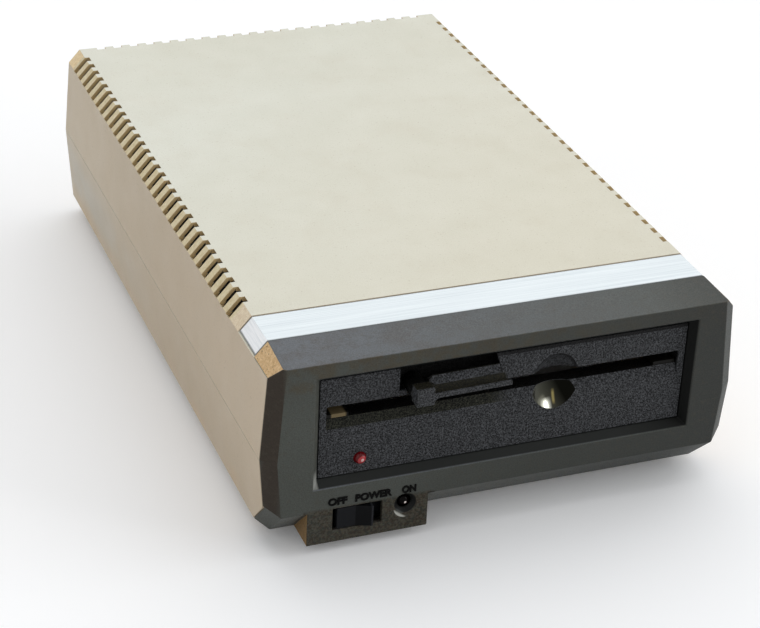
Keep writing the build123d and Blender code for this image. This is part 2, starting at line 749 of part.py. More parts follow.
with BuildPart() as drive_led:
    lamp(*lamp_at, bezel_y - drive_led_proud)
    rod(lamp_at[0], (chassis_y, chassis_y + 2 * led_flange), lamp_at[1], led_radius + led_flange)
    rod(lamp_at[0], (bezel_y, chassis_y + led_flange), lamp_at[1], led_radius)
save(drive_led.part, "drive_led")

handle_y = front_y - lever_proud
handle_back = bezel_y - moving_gap
hub_back = pocket_y - moving_gap
tilt = radians(handle_rise)
# The handle's own planes: one lies in its front, one runs along it from the pivot.
handle_front = Plane(origin=(lever_x, handle_y, lever_axis), x_dir=(cos(tilt), 0, sin(tilt)),
                     z_dir=(0, -1, 0))
handle_along = Plane(origin=(lever_x, handle_y, lever_axis), x_dir=(0, 1, 0),
                     z_dir=(cos(tilt), 0, sin(tilt)))
handle_deep = handle_back - handle_y
ledge_deep = front_y - handle_y

with BuildPart() as latch_lever:
    # The lip with the squared foot at the pivot, rounded where they meet.
    with BuildSketch(handle_front.offset(-lip_wall)) as lip:
        with Locations((0, foot_lift)):
            Rectangle(2 * foot_half, 2 * foot_half, rotation=-handle_rise)
        with Locations((lever_reach / 2, (handle_above - handle_below) / 2)):
            Rectangle(lever_reach, handle_above + handle_below)
        inner_corner = lip.vertices().sort_by_distance((foot_half, -handle_below, 0))[0]
        fillet(inner_corner, foot_round)
    extrude(lip.sketch, amount=lip_wall)
    with BuildSketch(handle_front.offset(-ledge_deep)) as foot:
        with Locations((0, foot_lift)):
            Rectangle(2 * foot_half, 2 * foot_half, rotation=-handle_rise)
    extrude(foot.sketch, amount=ledge_deep)
    rod(lever_x, (front_y, hub_back), lever_axis, lever_hub_radius - moving_gap)
    # Behind the lip: a long hollow, then the thumb ridge with its sloping face.
    with BuildSketch(handle_along) as ledge:
        with BuildLine():
            Polyline((lip_wall, ledge_rise), (lip_wall, -handle_below),
                     (ledge_deep, -handle_below), (ledge_deep, ridge_base))
            ThreePointArc((ledge_deep, ridge_base),
                          (ledge_deep - ledge_bend, ledge_rise + ledge_bend / 2),
                          (lip_wall, ledge_rise))
        make_face()
    extrude(ledge.sketch, amount=lever_reach - ridge_step)
    with BuildSketch(handle_along) as ridge_foot:
        with Locations(((ledge_deep + handle_deep) / 2, (ridge_base - handle_below) / 2)):
            Rectangle(handle_deep - ledge_deep, ridge_base + handle_below)
    extrude(ridge_foot.sketch, amount=ridge_end)
    with BuildSketch(handle_along.offset(ridge_start)) as ridge:
        with BuildLine():
            Polyline((ledge_deep, ridge_base), (handle_deep, ridge_base), (handle_deep, ridge_rise),
                     (handle_deep - ridge_step, ridge_rise), close=True)
        make_face()
    extrude(ridge.sketch, amount=ridge_end - ridge_start)
    ridge_middle = (ridge_base + ridge_rise) / 2
    for height in (ridge_base, ridge_rise):
        outline([(ridge_start, height), (ridge_start + ridge_point, height),
                 (ridge_start, ridge_middle)], handle_front, -2 * handle_deep, Mode.SUBTRACT)
    rod(lever_x, (hub_back - lever_grip, hub_back), lever_axis, lever_shaft_radius + fixed_gap,
        Mode.SUBTRACT)
save(latch_lever.part, "latch_lever")

with BuildPart() as lever_shaft:
    rod(lever_x, (hub_back - lever_grip, cam_y + cam_length / 2), lever_axis, lever_shaft_radius)
    # The cam points up while the lever is open.
    with BuildSketch(across(cam_y + cam_length / 2)) as cam:
        with Locations((lever_x, lever_axis)):
            Circle(cam_hub_radius)
        with Locations((lever_x, lever_axis + cam_arm)):
            Circle(cam_radius)
        make_hull()
    extrude(cam.sketch, amount=cam_length)
save(lever_shaft.part, "lever_shaft")

# ================================================================ switch, boards and sockets
knob_z = (base_z + window_bottom + knob_clearance, base_z + window_top - knob_clearance)
stem_x = knob_x + knob_width / 2
stem_z = sum(knob_z) / 2
stem_y = front_y + knob_depth + knob_stem_length

with BuildPart() as power_slider:
    face_y = front_y + knob_sink
    with BuildSketch(Plane.XY.offset(knob_z[0])) as knob:
        with BuildLine():
            right = knob_x + knob_width
            Polyline((knob_x, front_y + knob_depth), (knob_x, face_y), (knob_x + knob_flat, face_y),
                     (right - knob_ridge, front_y - knob_proud), (right, front_y - knob_proud),
                     (right, front_y + knob_depth), close=True)
        make_face()
    extrude(knob.sketch, amount=knob_z[1] - knob_z[0])
    block((stem_x - knob_stem / 2, stem_x + knob_stem / 2), (front_y + knob_depth, stem_y),
          (stem_z - knob_stem_height / 2, stem_z + knob_stem_height / 2))
save(power_slider.part, "power_slider")

with BuildPart() as power_switch_body:
    block((window_left - switch_margin, window_right + switch_margin),
          (switch_y, switch_y + switch_depth), (board_top, base_z + window_top + wall))
    block((stem_x - knob_stem / 2 - moving_gap,
           stem_x + knob_stem / 2 + switch_travel + moving_gap), (switch_y, stem_y + moving_gap),
          (stem_z - knob_stem_height / 2 - moving_gap, stem_z + knob_stem_height / 2 + moving_gap),
          Mode.SUBTRACT)
save(power_switch_body.part, "power_switch_body")

with BuildPart() as power_led:
    lamp(power_led_x, base_z + power_led_z, front_y + power_led_sink)
    leads_y = front_y + power_led_sink + led_length
    for side in (-1, 1):
        lead_x = power_led_x + side * led_radius / 2
        block((lead_x - led_lead / 2, lead_x + led_lead / 2), (leads_y, leads_y + 2 * led_lead),
              (board_top, base_z + power_led_z))
save(power_led.part, "power_led")

board_y = front_y + board_front
tongue_x = (tab_left + wall + moving_gap, tab_right - wall - moving_gap)

with BuildPart() as main_board:
    block((-board_half, board_half), (board_y, board_rear), (board_z, board_top))
    block(tongue_x, (switch_y, board_y), (board_z, board_top))
    for x, y in mount_places:
        rod(x, y, (board_z, board_top), mount_post_radius + fastener_gap, Mode.SUBTRACT)
    for x, y in stand_places:
        rod(x, y, (board_z, board_top), mount_screw_radius + fastener_gap, Mode.SUBTRACT)
save(main_board.part, "main_board")

with BuildPart() as board_screws:
    for x, y in stand_places:
        rod(x, y, (board_top, board_top + mount_screw_head_height), mount_screw_head)
        rod(x, y, (base_z + wall / 2, board_top), mount_screw_radius)
save(board_screws.part, "board_screws")


def chip(x, y, length, width, base):
    """A chip in its flat package, standing on two rows of legs."""
    body = base + chip_stand
    block((x - length / 2, x + length / 2), (y - width / 2, y + width / 2),
          (body, body + chip_height))
    for side in (-1, 1):
        edge = y + side * (width - chip_leg) / 2
        block((x - length / 2 + chip_leg, x + length / 2 - chip_leg),
              (edge - chip_leg / 2, edge + chip_leg / 2), (base, body))


with BuildPart() as board_chips:
    for x, y, length, width in chip_places:
        chip(x, front_y + y, length, width, board_top)
save(board_chips.part, "board_chips")

with BuildPart() as filter_capacitors:
    for x, y in capacitor_places:
        rod(x, rear_y - y, (board_top, board_top + capacitor_height), capacitor_radius)
save(filter_capacitors.part, "filter_capacitors")

sink_y = rear_y - heat_sink_inset
sink_back = sink_y + heat_sink_plate
with BuildPart() as heat_sink:
    block(heat_sink_x, (sink_y, sink_back), (board_top, board_top + heat_sink_height))
    for number in range(heat_sink_fins):
        step = (heat_sink_x[1] - heat_sink_x[0] - heat_sink_fin) / (heat_sink_fins - 1)
        left = heat_sink_x[0] + number * step
        block((left, left + heat_sink_fin), (sink_back, sink_back + heat_sink_depth),
              (board_top, board_top + heat_sink_height))
save(heat_sink.part, "heat_sink")

with BuildPart() as regulators:
    for x in regulator_x:
        block((x - regulator_half, x + regulator_half), (sink_y - regulator_depth, sink_y),
              (board_top, board_top + regulator_height))
save(regulators.part, "regulators")

socket_y = rear_y - rear_sink
inner_y = rear_y - wall - panel_gap

with BuildPart() as serial_ports:
    port_z = board_top + rear_port_height / 2
    for x in rear_port_x:
        block((x - rear_port_width / 2, x + rear_port_width / 2),
              (socket_y - rear_port_depth, socket_y), (board_top, board_top + rear_port_height))
        block((x - socket_width / 2, x + socket_width / 2), (socket_y - socket_depth, socket_y),
              (port_z - socket_height / 2, port_z + socket_height / 2), Mode.SUBTRACT)
save(serial_ports.part, "serial_ports")

with BuildPart() as port_contacts:
    for x in rear_port_x:
        for height, count in contact_rows:
            for number in range(count):
                offset_x = (number - (count - 1) / 2) * contact_pitch
                rod(x + offset_x, (socket_y - socket_depth, socket_y - socket_depth + contact_length),
                    port_z + height, contact_radius)
save(port_contacts.part, "port_contacts")

with BuildPart() as power_jack:
    jack_z = board_top + jack_height / 2
    block((jack_x - jack_half, jack_x + jack_half), (inner_y - jack_depth, inner_y),
          (board_top, board_top + jack_height))
    rod(jack_x, (inner_y, socket_y), jack_z, jack_nose)
    rod(jack_x, (socket_y - jack_reach, socket_y), jack_z, jack_bore, Mode.SUBTRACT)
    rod(jack_x, (socket_y - jack_reach, socket_y - jack_reach / 2), jack_z, jack_pin)
save(power_jack.part, "power_jack")

with BuildPart() as drive_select_body:
    block((select_window[0] - wall, select_window[1] + wall), (inner_y - select_depth, inner_y),
          (board_top, select_level[1] + wall))
    for x in select_x:
        block((x - moving_gap, x + select_size + select_travel + moving_gap),
              (inner_y - select_groove, inner_y),
              (select_level[0] - moving_gap, select_level[1] + moving_gap), Mode.SUBTRACT)
save(drive_select_body.part, "drive_select_body")

for number, x in enumerate(select_x, start=1):
    with BuildPart() as select_slider:
        block((x, x + select_size), (inner_y - select_groove + moving_gap, socket_y), select_level)
    save(select_slider.part, f"drive_select_slider_{number}")

# ================================================================ the drive's chassis
with BuildPart() as drive_chassis:
    block((-inner, inner), (chassis_y, chassis_rear), (deck_z, deck_top))
    for side in (-1, 1):
        rail = sided(side, inner, mechanism_half)
        block(rail, (chassis_y, chassis_rear), (rails_z, rails_top))
        flange = sided(side, (mechanism_half - flange_width), mechanism_half)
        for y in (mount_places[0][1], mount_places[1][1]):
            block(flange, (y - flange_half, y + flange_half), (rails_z, rails_z + rail_thickness))
        for y in (servo_y[0] + servo_foot, servo_y[1] - servo_foot):
            block(rail, (y - servo_foot, y + servo_foot), (rails_top, servo_z))
            rod(side * (mechanism_half - rail_thickness / 2), y, (servo_z - servo_bite, servo_z),
                servo_screw_radius + fixed_gap, Mode.SUBTRACT)
        # Bosses that hold the guide rods under the deck.
        for y in rod_y:
            depth = (y, y + rod_boss) if y == rod_y[0] else (y - rod_boss, y)
            block((side * rod_x - rod_boss, side * rod_x + rod_boss), depth,
                  (rod_z - rod_boss, deck_z))
            rod(side * rod_x, depth, rod_z, rod_radius + fixed_gap, Mode.SUBTRACT)
        # Ears of the clamp arm's hinge.
        ear = sided(side, clamp_bar_inner - moving_gap - ear_thickness,
                    clamp_bar_inner - moving_gap)
        block(ear, (clamp_pivot_y - knuckle_radius, clamp_pivot_y + knuckle_radius),
              (deck_top, clamp_pivot_z + knuckle_radius))
    rod((-clamp_bar_inner, clamp_bar_inner), clamp_pivot_y, clamp_pivot_z,
        clamp_pin_radius + fixed_gap, Mode.SUBTRACT)
    block((-carriage_half - carriage_side, carriage_half + carriage_side), window_y,
          (deck_z, deck_top), Mode.SUBTRACT)
    for x, y in mount_places:
        rod(x, y, (rails_z, rails_z + rail_thickness), mount_screw_radius + fastener_gap,
            Mode.SUBTRACT)
    # Bearing housing of the spindle.
    rod(0, spindle_y, (housing_z, deck_z), housing_radius)
    rod(0, spindle_y, (housing_z, deck_top), bearing_radius - bearing_step, Mode.SUBTRACT)
    for z in (housing_z, deck_top - bearing_width):
        rod(0, spindle_y, (z, z + bearing_width), bearing_radius + fixed_gap, Mode.SUBTRACT)
    for x in (motor_x, stepper_x):
        rod(x, motor_y, (deck_z, deck_top), motor_shaft_radius + wall, Mode.SUBTRACT)
    # Beam across the front with the lug that carries the lever's shaft.
    beam_y = front_y + beam_setback
    block((-inner, inner), (beam_y, beam_y + beam_width), (rails_top - beam_height, rails_top))
    block((lever_x - lug_half, lever_x + lug_half), (beam_y, beam_y + beam_width),
          (path_top + flange_sink, rails_top - beam_height))
    rod(lever_x, (beam_y, beam_y + beam_width), lever_axis, lever_shaft_radius + running_gap,
        Mode.SUBTRACT)
save(drive_chassis.part, "drive_chassis")

with BuildPart() as chassis_screws:
    for x, y in mount_places:
        seat = rails_z + rail_thickness
        rod(x, y, (seat, seat + mount_screw_head_height), mount_screw_head)
        rod(x, y, (rails_z - mount_screw_bite, seat), mount_screw_radius)
save(chassis_screws.part, "chassis_screws")

guide_wall = inner - guide_thickness
for side, name in ((-1, "left"), (1, "right")):
    shelf = sided(side, (jacket_half - guide_lap), inner)
    with BuildPart() as disk_guide:
        block(shelf, (chassis_y, disk_end_y), (deck_top, path_top + guide_lip))
        block(sided(side, (jacket_half - guide_lap), guide_wall),
              (chassis_y, disk_end_y), (path_z, path_top), Mode.SUBTRACT)
        # The shelf's nose fills the lower corner of the bezel's slot.
        block(sided(side, jacket_half - guide_lap, slot_half - moving_gap),
              (bezel_y + guide_nose_setback, chassis_y), (slot_z + panel_gap, path_z))
    save(disk_guide.part, f"{name}_disk_guide")

with BuildPart() as guide_rods:
    for side in (-1, 1):
        rod(side * rod_x, rod_y, rod_z, rod_radius)
save(guide_rods.part, "guide_rods")

with BuildPart() as spindle_bearings:
    for z in (housing_z, deck_top - bearing_width):
        rod(0, spindle_y, (z, z + bearing_width), bearing_radius)
        rod(0, spindle_y, (z, z + bearing_width), spindle_radius + running_gap, Mode.SUBTRACT)
save(spindle_bearings.part, "spindle_bearings")

# ================================================================ spindle, motors and belt
flange_top = path_z - flange_sink
belt_z = (pulley_z + (pulley_width - belt_width) / 2, pulley_z + (pulley_width + belt_width) / 2)

with BuildPart() as spindle:
    rod(0, spindle_y, (pulley_z, flange_top), spindle_radius)
    rod(0, spindle_y, (flange_top - hub_height, flange_top), spindle_flange)
    rod(0, spindle_y, (deck_top + running_gap, flange_top - hub_height), spindle_collar)
    rod(0, spindle_y, (flange_top - hub_recess, flange_top), hub_recess_radius, Mode.SUBTRACT)
save(spindle.part, "spindle")

with BuildPart() as spindle_pulley:
    rod(0, spindle_y, (pulley_z, pulley_top), pulley_radius)
    for z in ((pulley_z, pulley_z + pulley_hollow), (pulley_top - pulley_hollow, pulley_top)):
        rod(0, spindle_y, z, pulley_radius - pulley_rim, Mode.SUBTRACT)
    rod(0, spindle_y, (pulley_z, pulley_top), bearing_radius)
    rod(0, spindle_y, (pulley_z, pulley_top), spindle_radius + fixed_gap, Mode.SUBTRACT)
save(spindle_pulley.part, "spindle_pulley")

with BuildPart() as drive_motor:
    rod(motor_x, motor_y, (deck_top, deck_top + motor_height), motor_radius)
    rod(motor_x, motor_y, (deck_top, deck_top + motor_grip + wall),
        motor_shaft_radius + running_gap, Mode.SUBTRACT)
save(drive_motor.part, "drive_motor")

with BuildPart() as motor_pulley:
    rod(motor_x, motor_y, (pulley_z, pulley_top), motor_pulley_radius)
    rod(motor_x, motor_y, (pulley_z, deck_top + motor_grip), motor_shaft_radius)
save(motor_pulley.part, "motor_pulley")


def belt_outline(grow):
    """The belt's loop round both pulleys, seen from above."""
    with BuildSketch(Plane.XY.offset(belt_z[0])) as loop:
        with Locations((0, spindle_y)):
            Circle(pulley_radius + grow)
        with Locations((motor_x, motor_y)):
            Circle(motor_pulley_radius + grow)
        make_hull()
    return loop.sketch


with BuildPart() as drive_belt:
    extrude(belt_outline(moving_gap + belt_thickness), amount=belt_width)
    extrude(belt_outline(moving_gap), amount=belt_width, mode=Mode.SUBTRACT)
save(drive_belt.part, "drive_belt")

with BuildPart() as stepper_motor:
    rod(stepper_x, motor_y, (deck_z - stepper_height, deck_z), stepper_radius)
    rod(stepper_x, motor_y, (deck_z - motor_grip - wall, deck_z),
        motor_shaft_radius + running_gap, Mode.SUBTRACT)
save(stepper_motor.part, "stepper_motor")

with BuildPart() as stepper_capstan:
    rod(stepper_x, motor_y, capstan_z, capstan_radius)
    rod(stepper_x, motor_y, (deck_z - motor_grip, capstan_z[1]), motor_shaft_radius)
save(stepper_capstan.part, "stepper_capstan")

# ================================================================ the heads and their carriage
carriage_top = deck_z + wall
pad_height = pad_pivot_z + hinge_post

with BuildPart() as head_carriage:
    block((-carriage_half, carriage_half), carriage_y, (carriage_top - carriage_height, carriage_top))
    cheek = pad_arm_half + moving_gap + hinge_cheek
    depth = (pad_pivot_y - hinge_post, pad_pivot_y + hinge_post)
    block((-cheek, cheek), depth, (carriage_top, pad_height))
    block((-pad_arm_half - moving_gap, pad_arm_half + moving_gap), depth,
          (pad_pivot_z - hinge_post - moving_gap, pad_height), Mode.SUBTRACT)
    rod((-cheek, cheek), pad_pivot_y, pad_pivot_z, hinge_pin_radius + fixed_gap, Mode.SUBTRACT)
    # Arm that reaches over the deck to the stepper's band.
    arm_z = (deck_top + carriage_lift, deck_top + carriage_lift + arm_bar_height)
    arm_x = (band_x - band_thickness - arm_bar_width, band_x - band_thickness)
    block((0, arm_x[1]), (carriage_y[1] - arm_bar_width, carriage_y[1]), arm_z)
    block((0, carriage_half), (carriage_y[1] - arm_bar_width, carriage_y[1]),
          (carriage_top, arm_z[1]))
    block(arm_x, (carriage_y[1] - arm_bar_width, carriage_y[1] - arm_bar_width + arm_bar_length),
          arm_z)
    for side in (-1, 1):
        rod(side * rod_x, carriage_y, rod_z, rod_radius + running_gap, Mode.SUBTRACT)
save(head_carriage.part, "head_carriage")

with BuildPart() as positioner_band:
    block((arm_x[1], band_x), (carriage_y[1], carriage_y[1] - arm_bar_width + arm_bar_length),
          (arm_z[0] + band_thickness, arm_z[1] - band_thickness))
save(positioner_band.part, "positioner_band")

with BuildPart() as lower_head:
    block((-head_half, head_half), (head_y - head_half, head_y + head_half),
          (carriage_top, flange_top))
save(lower_head.part, "lower_head")

with BuildPart() as pad_hinge_pin:
    rod((-cheek, cheek), pad_pivot_y, pad_pivot_z, hinge_pin_radius)
save(pad_hinge_pin.part, "pad_hinge_pin")

pad_axis = Axis((0, pad_pivot_y, pad_pivot_z), (1, 0, 0))
arm_low = pad_pivot_z - pad_arm_thickness / 2

with BuildPart() as pad_arm:
    block((-pad_arm_half, pad_arm_half), (head_y - head_half, pad_pivot_y),
          (arm_low, arm_low + pad_arm_thickness))
    rod((-pad_arm_half, pad_arm_half), pad_pivot_y, pad_pivot_z, hinge_post - moving_gap)
    rod((-pad_arm_half, pad_arm_half), pad_pivot_y, pad_pivot_z, hinge_pin_radius + running_gap,
        Mode.SUBTRACT)
save(pad_arm.part.rotate(pad_axis, -pad_open_angle), "pad_arm")

with BuildPart() as pressure_pad:
    rod(0, head_y, (path_z + pad_gap, arm_low), pad_radius)
save(pressure_pad.part.rotate(pad_axis, -pad_open_angle), "pressure_pad")

# ================================================================ the clamp
clamp_axis = Axis((0, clamp_pivot_y, clamp_pivot_z), (1, 0, 0))
clamp_low = clamp_pivot_z - clamp_thickness / 2
clamp_top = clamp_low + clamp_thickness

with BuildPart() as clamp_arm:
    for side in (-1, 1):
        side_bar = sided(side, clamp_bar_inner, clamp_bar_outer)
        block(side_bar, (front_y + clamp_front, clamp_pivot_y), (clamp_low, clamp_top))
        rod(side_bar, clamp_pivot_y, clamp_pivot_z, knuckle_radius)
        rod(side_bar, clamp_pivot_y, clamp_pivot_z, clamp_pin_radius + running_gap, Mode.SUBTRACT)
    block((-clamp_bar_outer, clamp_bar_outer),
          (spindle_y - clamp_plate_half, spindle_y + clamp_plate_half), (clamp_low, clamp_top))
    rod(0, spindle_y, (clamp_low, clamp_top), cone_shaft_radius + running_gap, Mode.SUBTRACT)
save(clamp_arm.part.rotate(clamp_axis, -clamp_open_angle), "clamp_arm")

with BuildPart() as clamp_arm_pin:
    rod((-clamp_bar_outer, clamp_bar_outer), clamp_pivot_y, clamp_pivot_z, clamp_pin_radius)
save(clamp_arm_pin.part, "clamp_arm_pin")

cone_z = path_z - cone_drop
with BuildPart() as clamp_cone:
    with Locations((0, spindle_y, cone_z + cone_taper / 2)):
        Cone(cone_radius - cone_taper, cone_radius, cone_taper)
    rod(0, spindle_y, (cone_z + cone_taper, cone_z + cone_height), cone_radius)
    rod(0, spindle_y, (cone_z + cone_height, clamp_top + wall), cone_shaft_radius)
save(clamp_cone.part.rotate(clamp_axis, -clamp_open_angle), "clamp_cone")

spring_z = (cone_z + cone_height + cone_spring_wire + moving_gap,
            clamp_low - cone_spring_wire - fixed_gap)
with BuildPart() as clamp_spring:
    with BuildLine() as coil:
        Helix(pitch=(spring_z[1] - spring_z[0]) / cone_spring_turns, height=spring_z[1] - spring_z[0],
              radius=cone_spring_radius, center=(0, spindle_y, spring_z[0]))
    with BuildSketch(Plane(origin=coil.line @ 0, z_dir=coil.line % 0)) as wire:
        Circle(cone_spring_wire)
    sweep(wire.sketch, path=coil.line, is_frenet=True)
save(clamp_spring.part.rotate(clamp_axis, -clamp_open_angle), "clamp_spring")

# ================================================================ servo board, ribbon, sensors
with BuildPart() as servo_board:
    block((-mechanism_half, mechanism_half), servo_y, (servo_z, servo_z + board_thickness))
    for x, y in servo_places:
        rod(x, y, (servo_z, servo_z + board_thickness), servo_screw_radius + fastener_gap,
            Mode.SUBTRACT)
save(servo_board.part, "servo_board")

with BuildPart() as servo_board_screws:
    for x, y in servo_places:
        seat = servo_z + board_thickness
        rod(x, y, (seat, seat + servo_screw_head_height), servo_screw_head)
        rod(x, y, (servo_z - servo_bite, seat), servo_screw_radius)
save(servo_board_screws.part, "servo_board_screws")

with BuildPart() as servo_chips:
    for x in servo_chip_x:
        chip(x, sum(servo_y) / 2 - chip_row, chip_length, chip_width, servo_z + board_thickness)
save(servo_chips.part, "servo_chips")

ribbon_x = (ribbon_middle - ribbon_width / 2, ribbon_middle + ribbon_width / 2)
upper_plug = (servo_z + board_thickness, servo_z + board_thickness + ribbon_plug)
lower_plug_y = (chassis_rear + ribbon_reach, chassis_rear + ribbon_reach + ribbon_plug)

with BuildPart() as ribbon_plugs:
    block(ribbon_x, (chassis_rear - ribbon_plug - wall, chassis_rear - wall), upper_plug)
    block(ribbon_x, lower_plug_y, (board_top, board_top + ribbon_plug))
save(ribbon_plugs.part, "ribbon_plugs")

with BuildPart() as ribbon_cable:
    high, low = sum(upper_plug) / 2, board_top + ribbon_plug / 2
    drop_y = chassis_rear + ribbon_bend
    with BuildSketch(Plane.YZ.offset(ribbon_x[0])) as ribbon:
        with BuildLine():
            half = ribbon_thickness / 2
            FilletPolyline((chassis_rear - wall + half, high), (drop_y, high), (drop_y, low),
                           (lower_plug_y[0] - half, low), radius=ribbon_bend / 2)
            offset(amount=half, kind=Kind.INTERSECTION)
        make_face()
    extrude(ribbon.sketch, amount=ribbon_width)
save(ribbon_cable.part, "ribbon_cable")

with BuildPart() as index_sensor:
    block((index_x - sensor_half, index_x + sensor_half),
          (spindle_y - sensor_half, spindle_y + sensor_half), (deck_top, flange_top))
save(index_sensor.part, "index_sensor")

with BuildPart() as track_zero_sensor:
    block((-carriage_half - carriage_side - 2 * sensor_half, -carriage_half - carriage_side),
          (carriage_y[0] - sensor_half, carriage_y[0] + sensor_half), (deck_top, flange_top))
save(track_zero_sensor.part, "track_zero_sensor")
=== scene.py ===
"""Looks of the external floppy disk drive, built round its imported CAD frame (metres, +Z up).

The CAD nodes lie where the frame has them, so their object coordinates are places in the frame.
Sizes and places are in millimetres here, and MM turns them into Blender's metres.
"""
import math

import bmesh
import bpy
from mathutils import Matrix, Vector


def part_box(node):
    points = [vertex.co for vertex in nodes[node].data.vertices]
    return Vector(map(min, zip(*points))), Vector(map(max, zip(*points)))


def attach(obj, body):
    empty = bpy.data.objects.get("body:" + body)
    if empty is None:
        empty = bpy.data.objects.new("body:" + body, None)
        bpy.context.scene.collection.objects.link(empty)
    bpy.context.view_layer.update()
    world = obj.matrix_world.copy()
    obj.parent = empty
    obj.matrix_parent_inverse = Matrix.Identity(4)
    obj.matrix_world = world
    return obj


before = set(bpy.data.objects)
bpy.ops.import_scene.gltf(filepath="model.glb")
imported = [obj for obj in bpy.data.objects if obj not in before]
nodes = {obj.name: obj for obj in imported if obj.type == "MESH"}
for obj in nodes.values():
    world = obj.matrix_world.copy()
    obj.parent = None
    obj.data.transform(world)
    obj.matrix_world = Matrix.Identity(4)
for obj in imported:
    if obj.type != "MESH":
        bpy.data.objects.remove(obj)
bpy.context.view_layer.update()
MM = 0.001
X, Y, Z = 0, 1, 2


# ---------------------------------------------------------------- places, from the frame
def box(name):
    """The lowest and the highest corner of a CAD node, in millimetres."""
    low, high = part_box(name)
    return low / MM, high / MM


FRONT_LOW, FRONT_HIGH = box("front_fascia")
FRONT = FRONT_LOW.y                                 # the front face
SIDE = FRONT_HIGH.x                                 # the case's widest line
SHOULDER = FRONT_HIGH.z - 5.9                       # foot of the top chamfers
CHIN = FRONT_LOW.z + 14.6                           # the front face slopes back below this
TAB = (-79.6, -31.0)                                # the switch's tab, from left to right
VENTS = (FRONT + 49.0, FRONT + 297.0)               # the stretch of chamfer with slots
BEZEL_LOW, BEZEL_HIGH = box("drive_bezel")
BEZEL = BEZEL_LOW.y                                 # the bezel's face
SLOT = (BEZEL_LOW.z + 23.8, BEZEL_LOW.z + 30.3)     # the disk slot's lower and upper edge
SCOOP_X, SCOOP_Z = 19.9, BEZEL_LOW.z + 25.6         # the thumb scoop's middle
SCOOP_HALF_WIDTH, SCOOP_HALF_HEIGHT = 9.8, 12.0
SCOOP_DEPTH, SCOOP_RADIUS = 4.0, 14.0
LEVER_LOW = box("latch_lever")[0]
LEVER = LEVER_LOW.y                                 # the lever's face
LEVER_AXIS = LEVER_LOW.z + 3.7
HUB_RIGHT = LEVER_LOW.x + 7.35                      # the lever's hub ends and its lip starts
STRIP_LOW, STRIP_HIGH = box("trim_strip")
LAMP_LOW, LAMP_HIGH = box("power_led")
LAMP = (LAMP_LOW + LAMP_HIGH) / 2


# ---------------------------------------------------------------- node helpers
def linear(red, green, blue):
    """A colour written as it looks on a screen (0 to 255), as linear values with alpha."""
    def channel(value):
        value /= 255
        return value / 12.92 if value <= 0.04045 else ((value + 0.055) / 1.055) ** 2.4
    return (channel(red), channel(green), channel(blue), 1.0)


def darkened(colour, share):
    """A linear colour with only a share of its light."""
    return tuple(part * share for part in colour[:3]) + (1.0,)


class Tree:
    """A node tree, with a short call that adds a node to it."""

    def __init__(self, tree):
        self.tree = tree

    def put(self, kind, inputs=None, **settings):
        """Adds a node with these settings, and links or sets its inputs."""
        node = self.tree.nodes.new("ShaderNode" + kind)
        for key, value in settings.items():
            setattr(node, key, value)
        for key, value in (inputs or {}).items():
            if isinstance(value, bpy.types.NodeSocket):
                self.tree.links.new(value, node.inputs[key])
            else:
                node.inputs[key].default_value = value
        return node


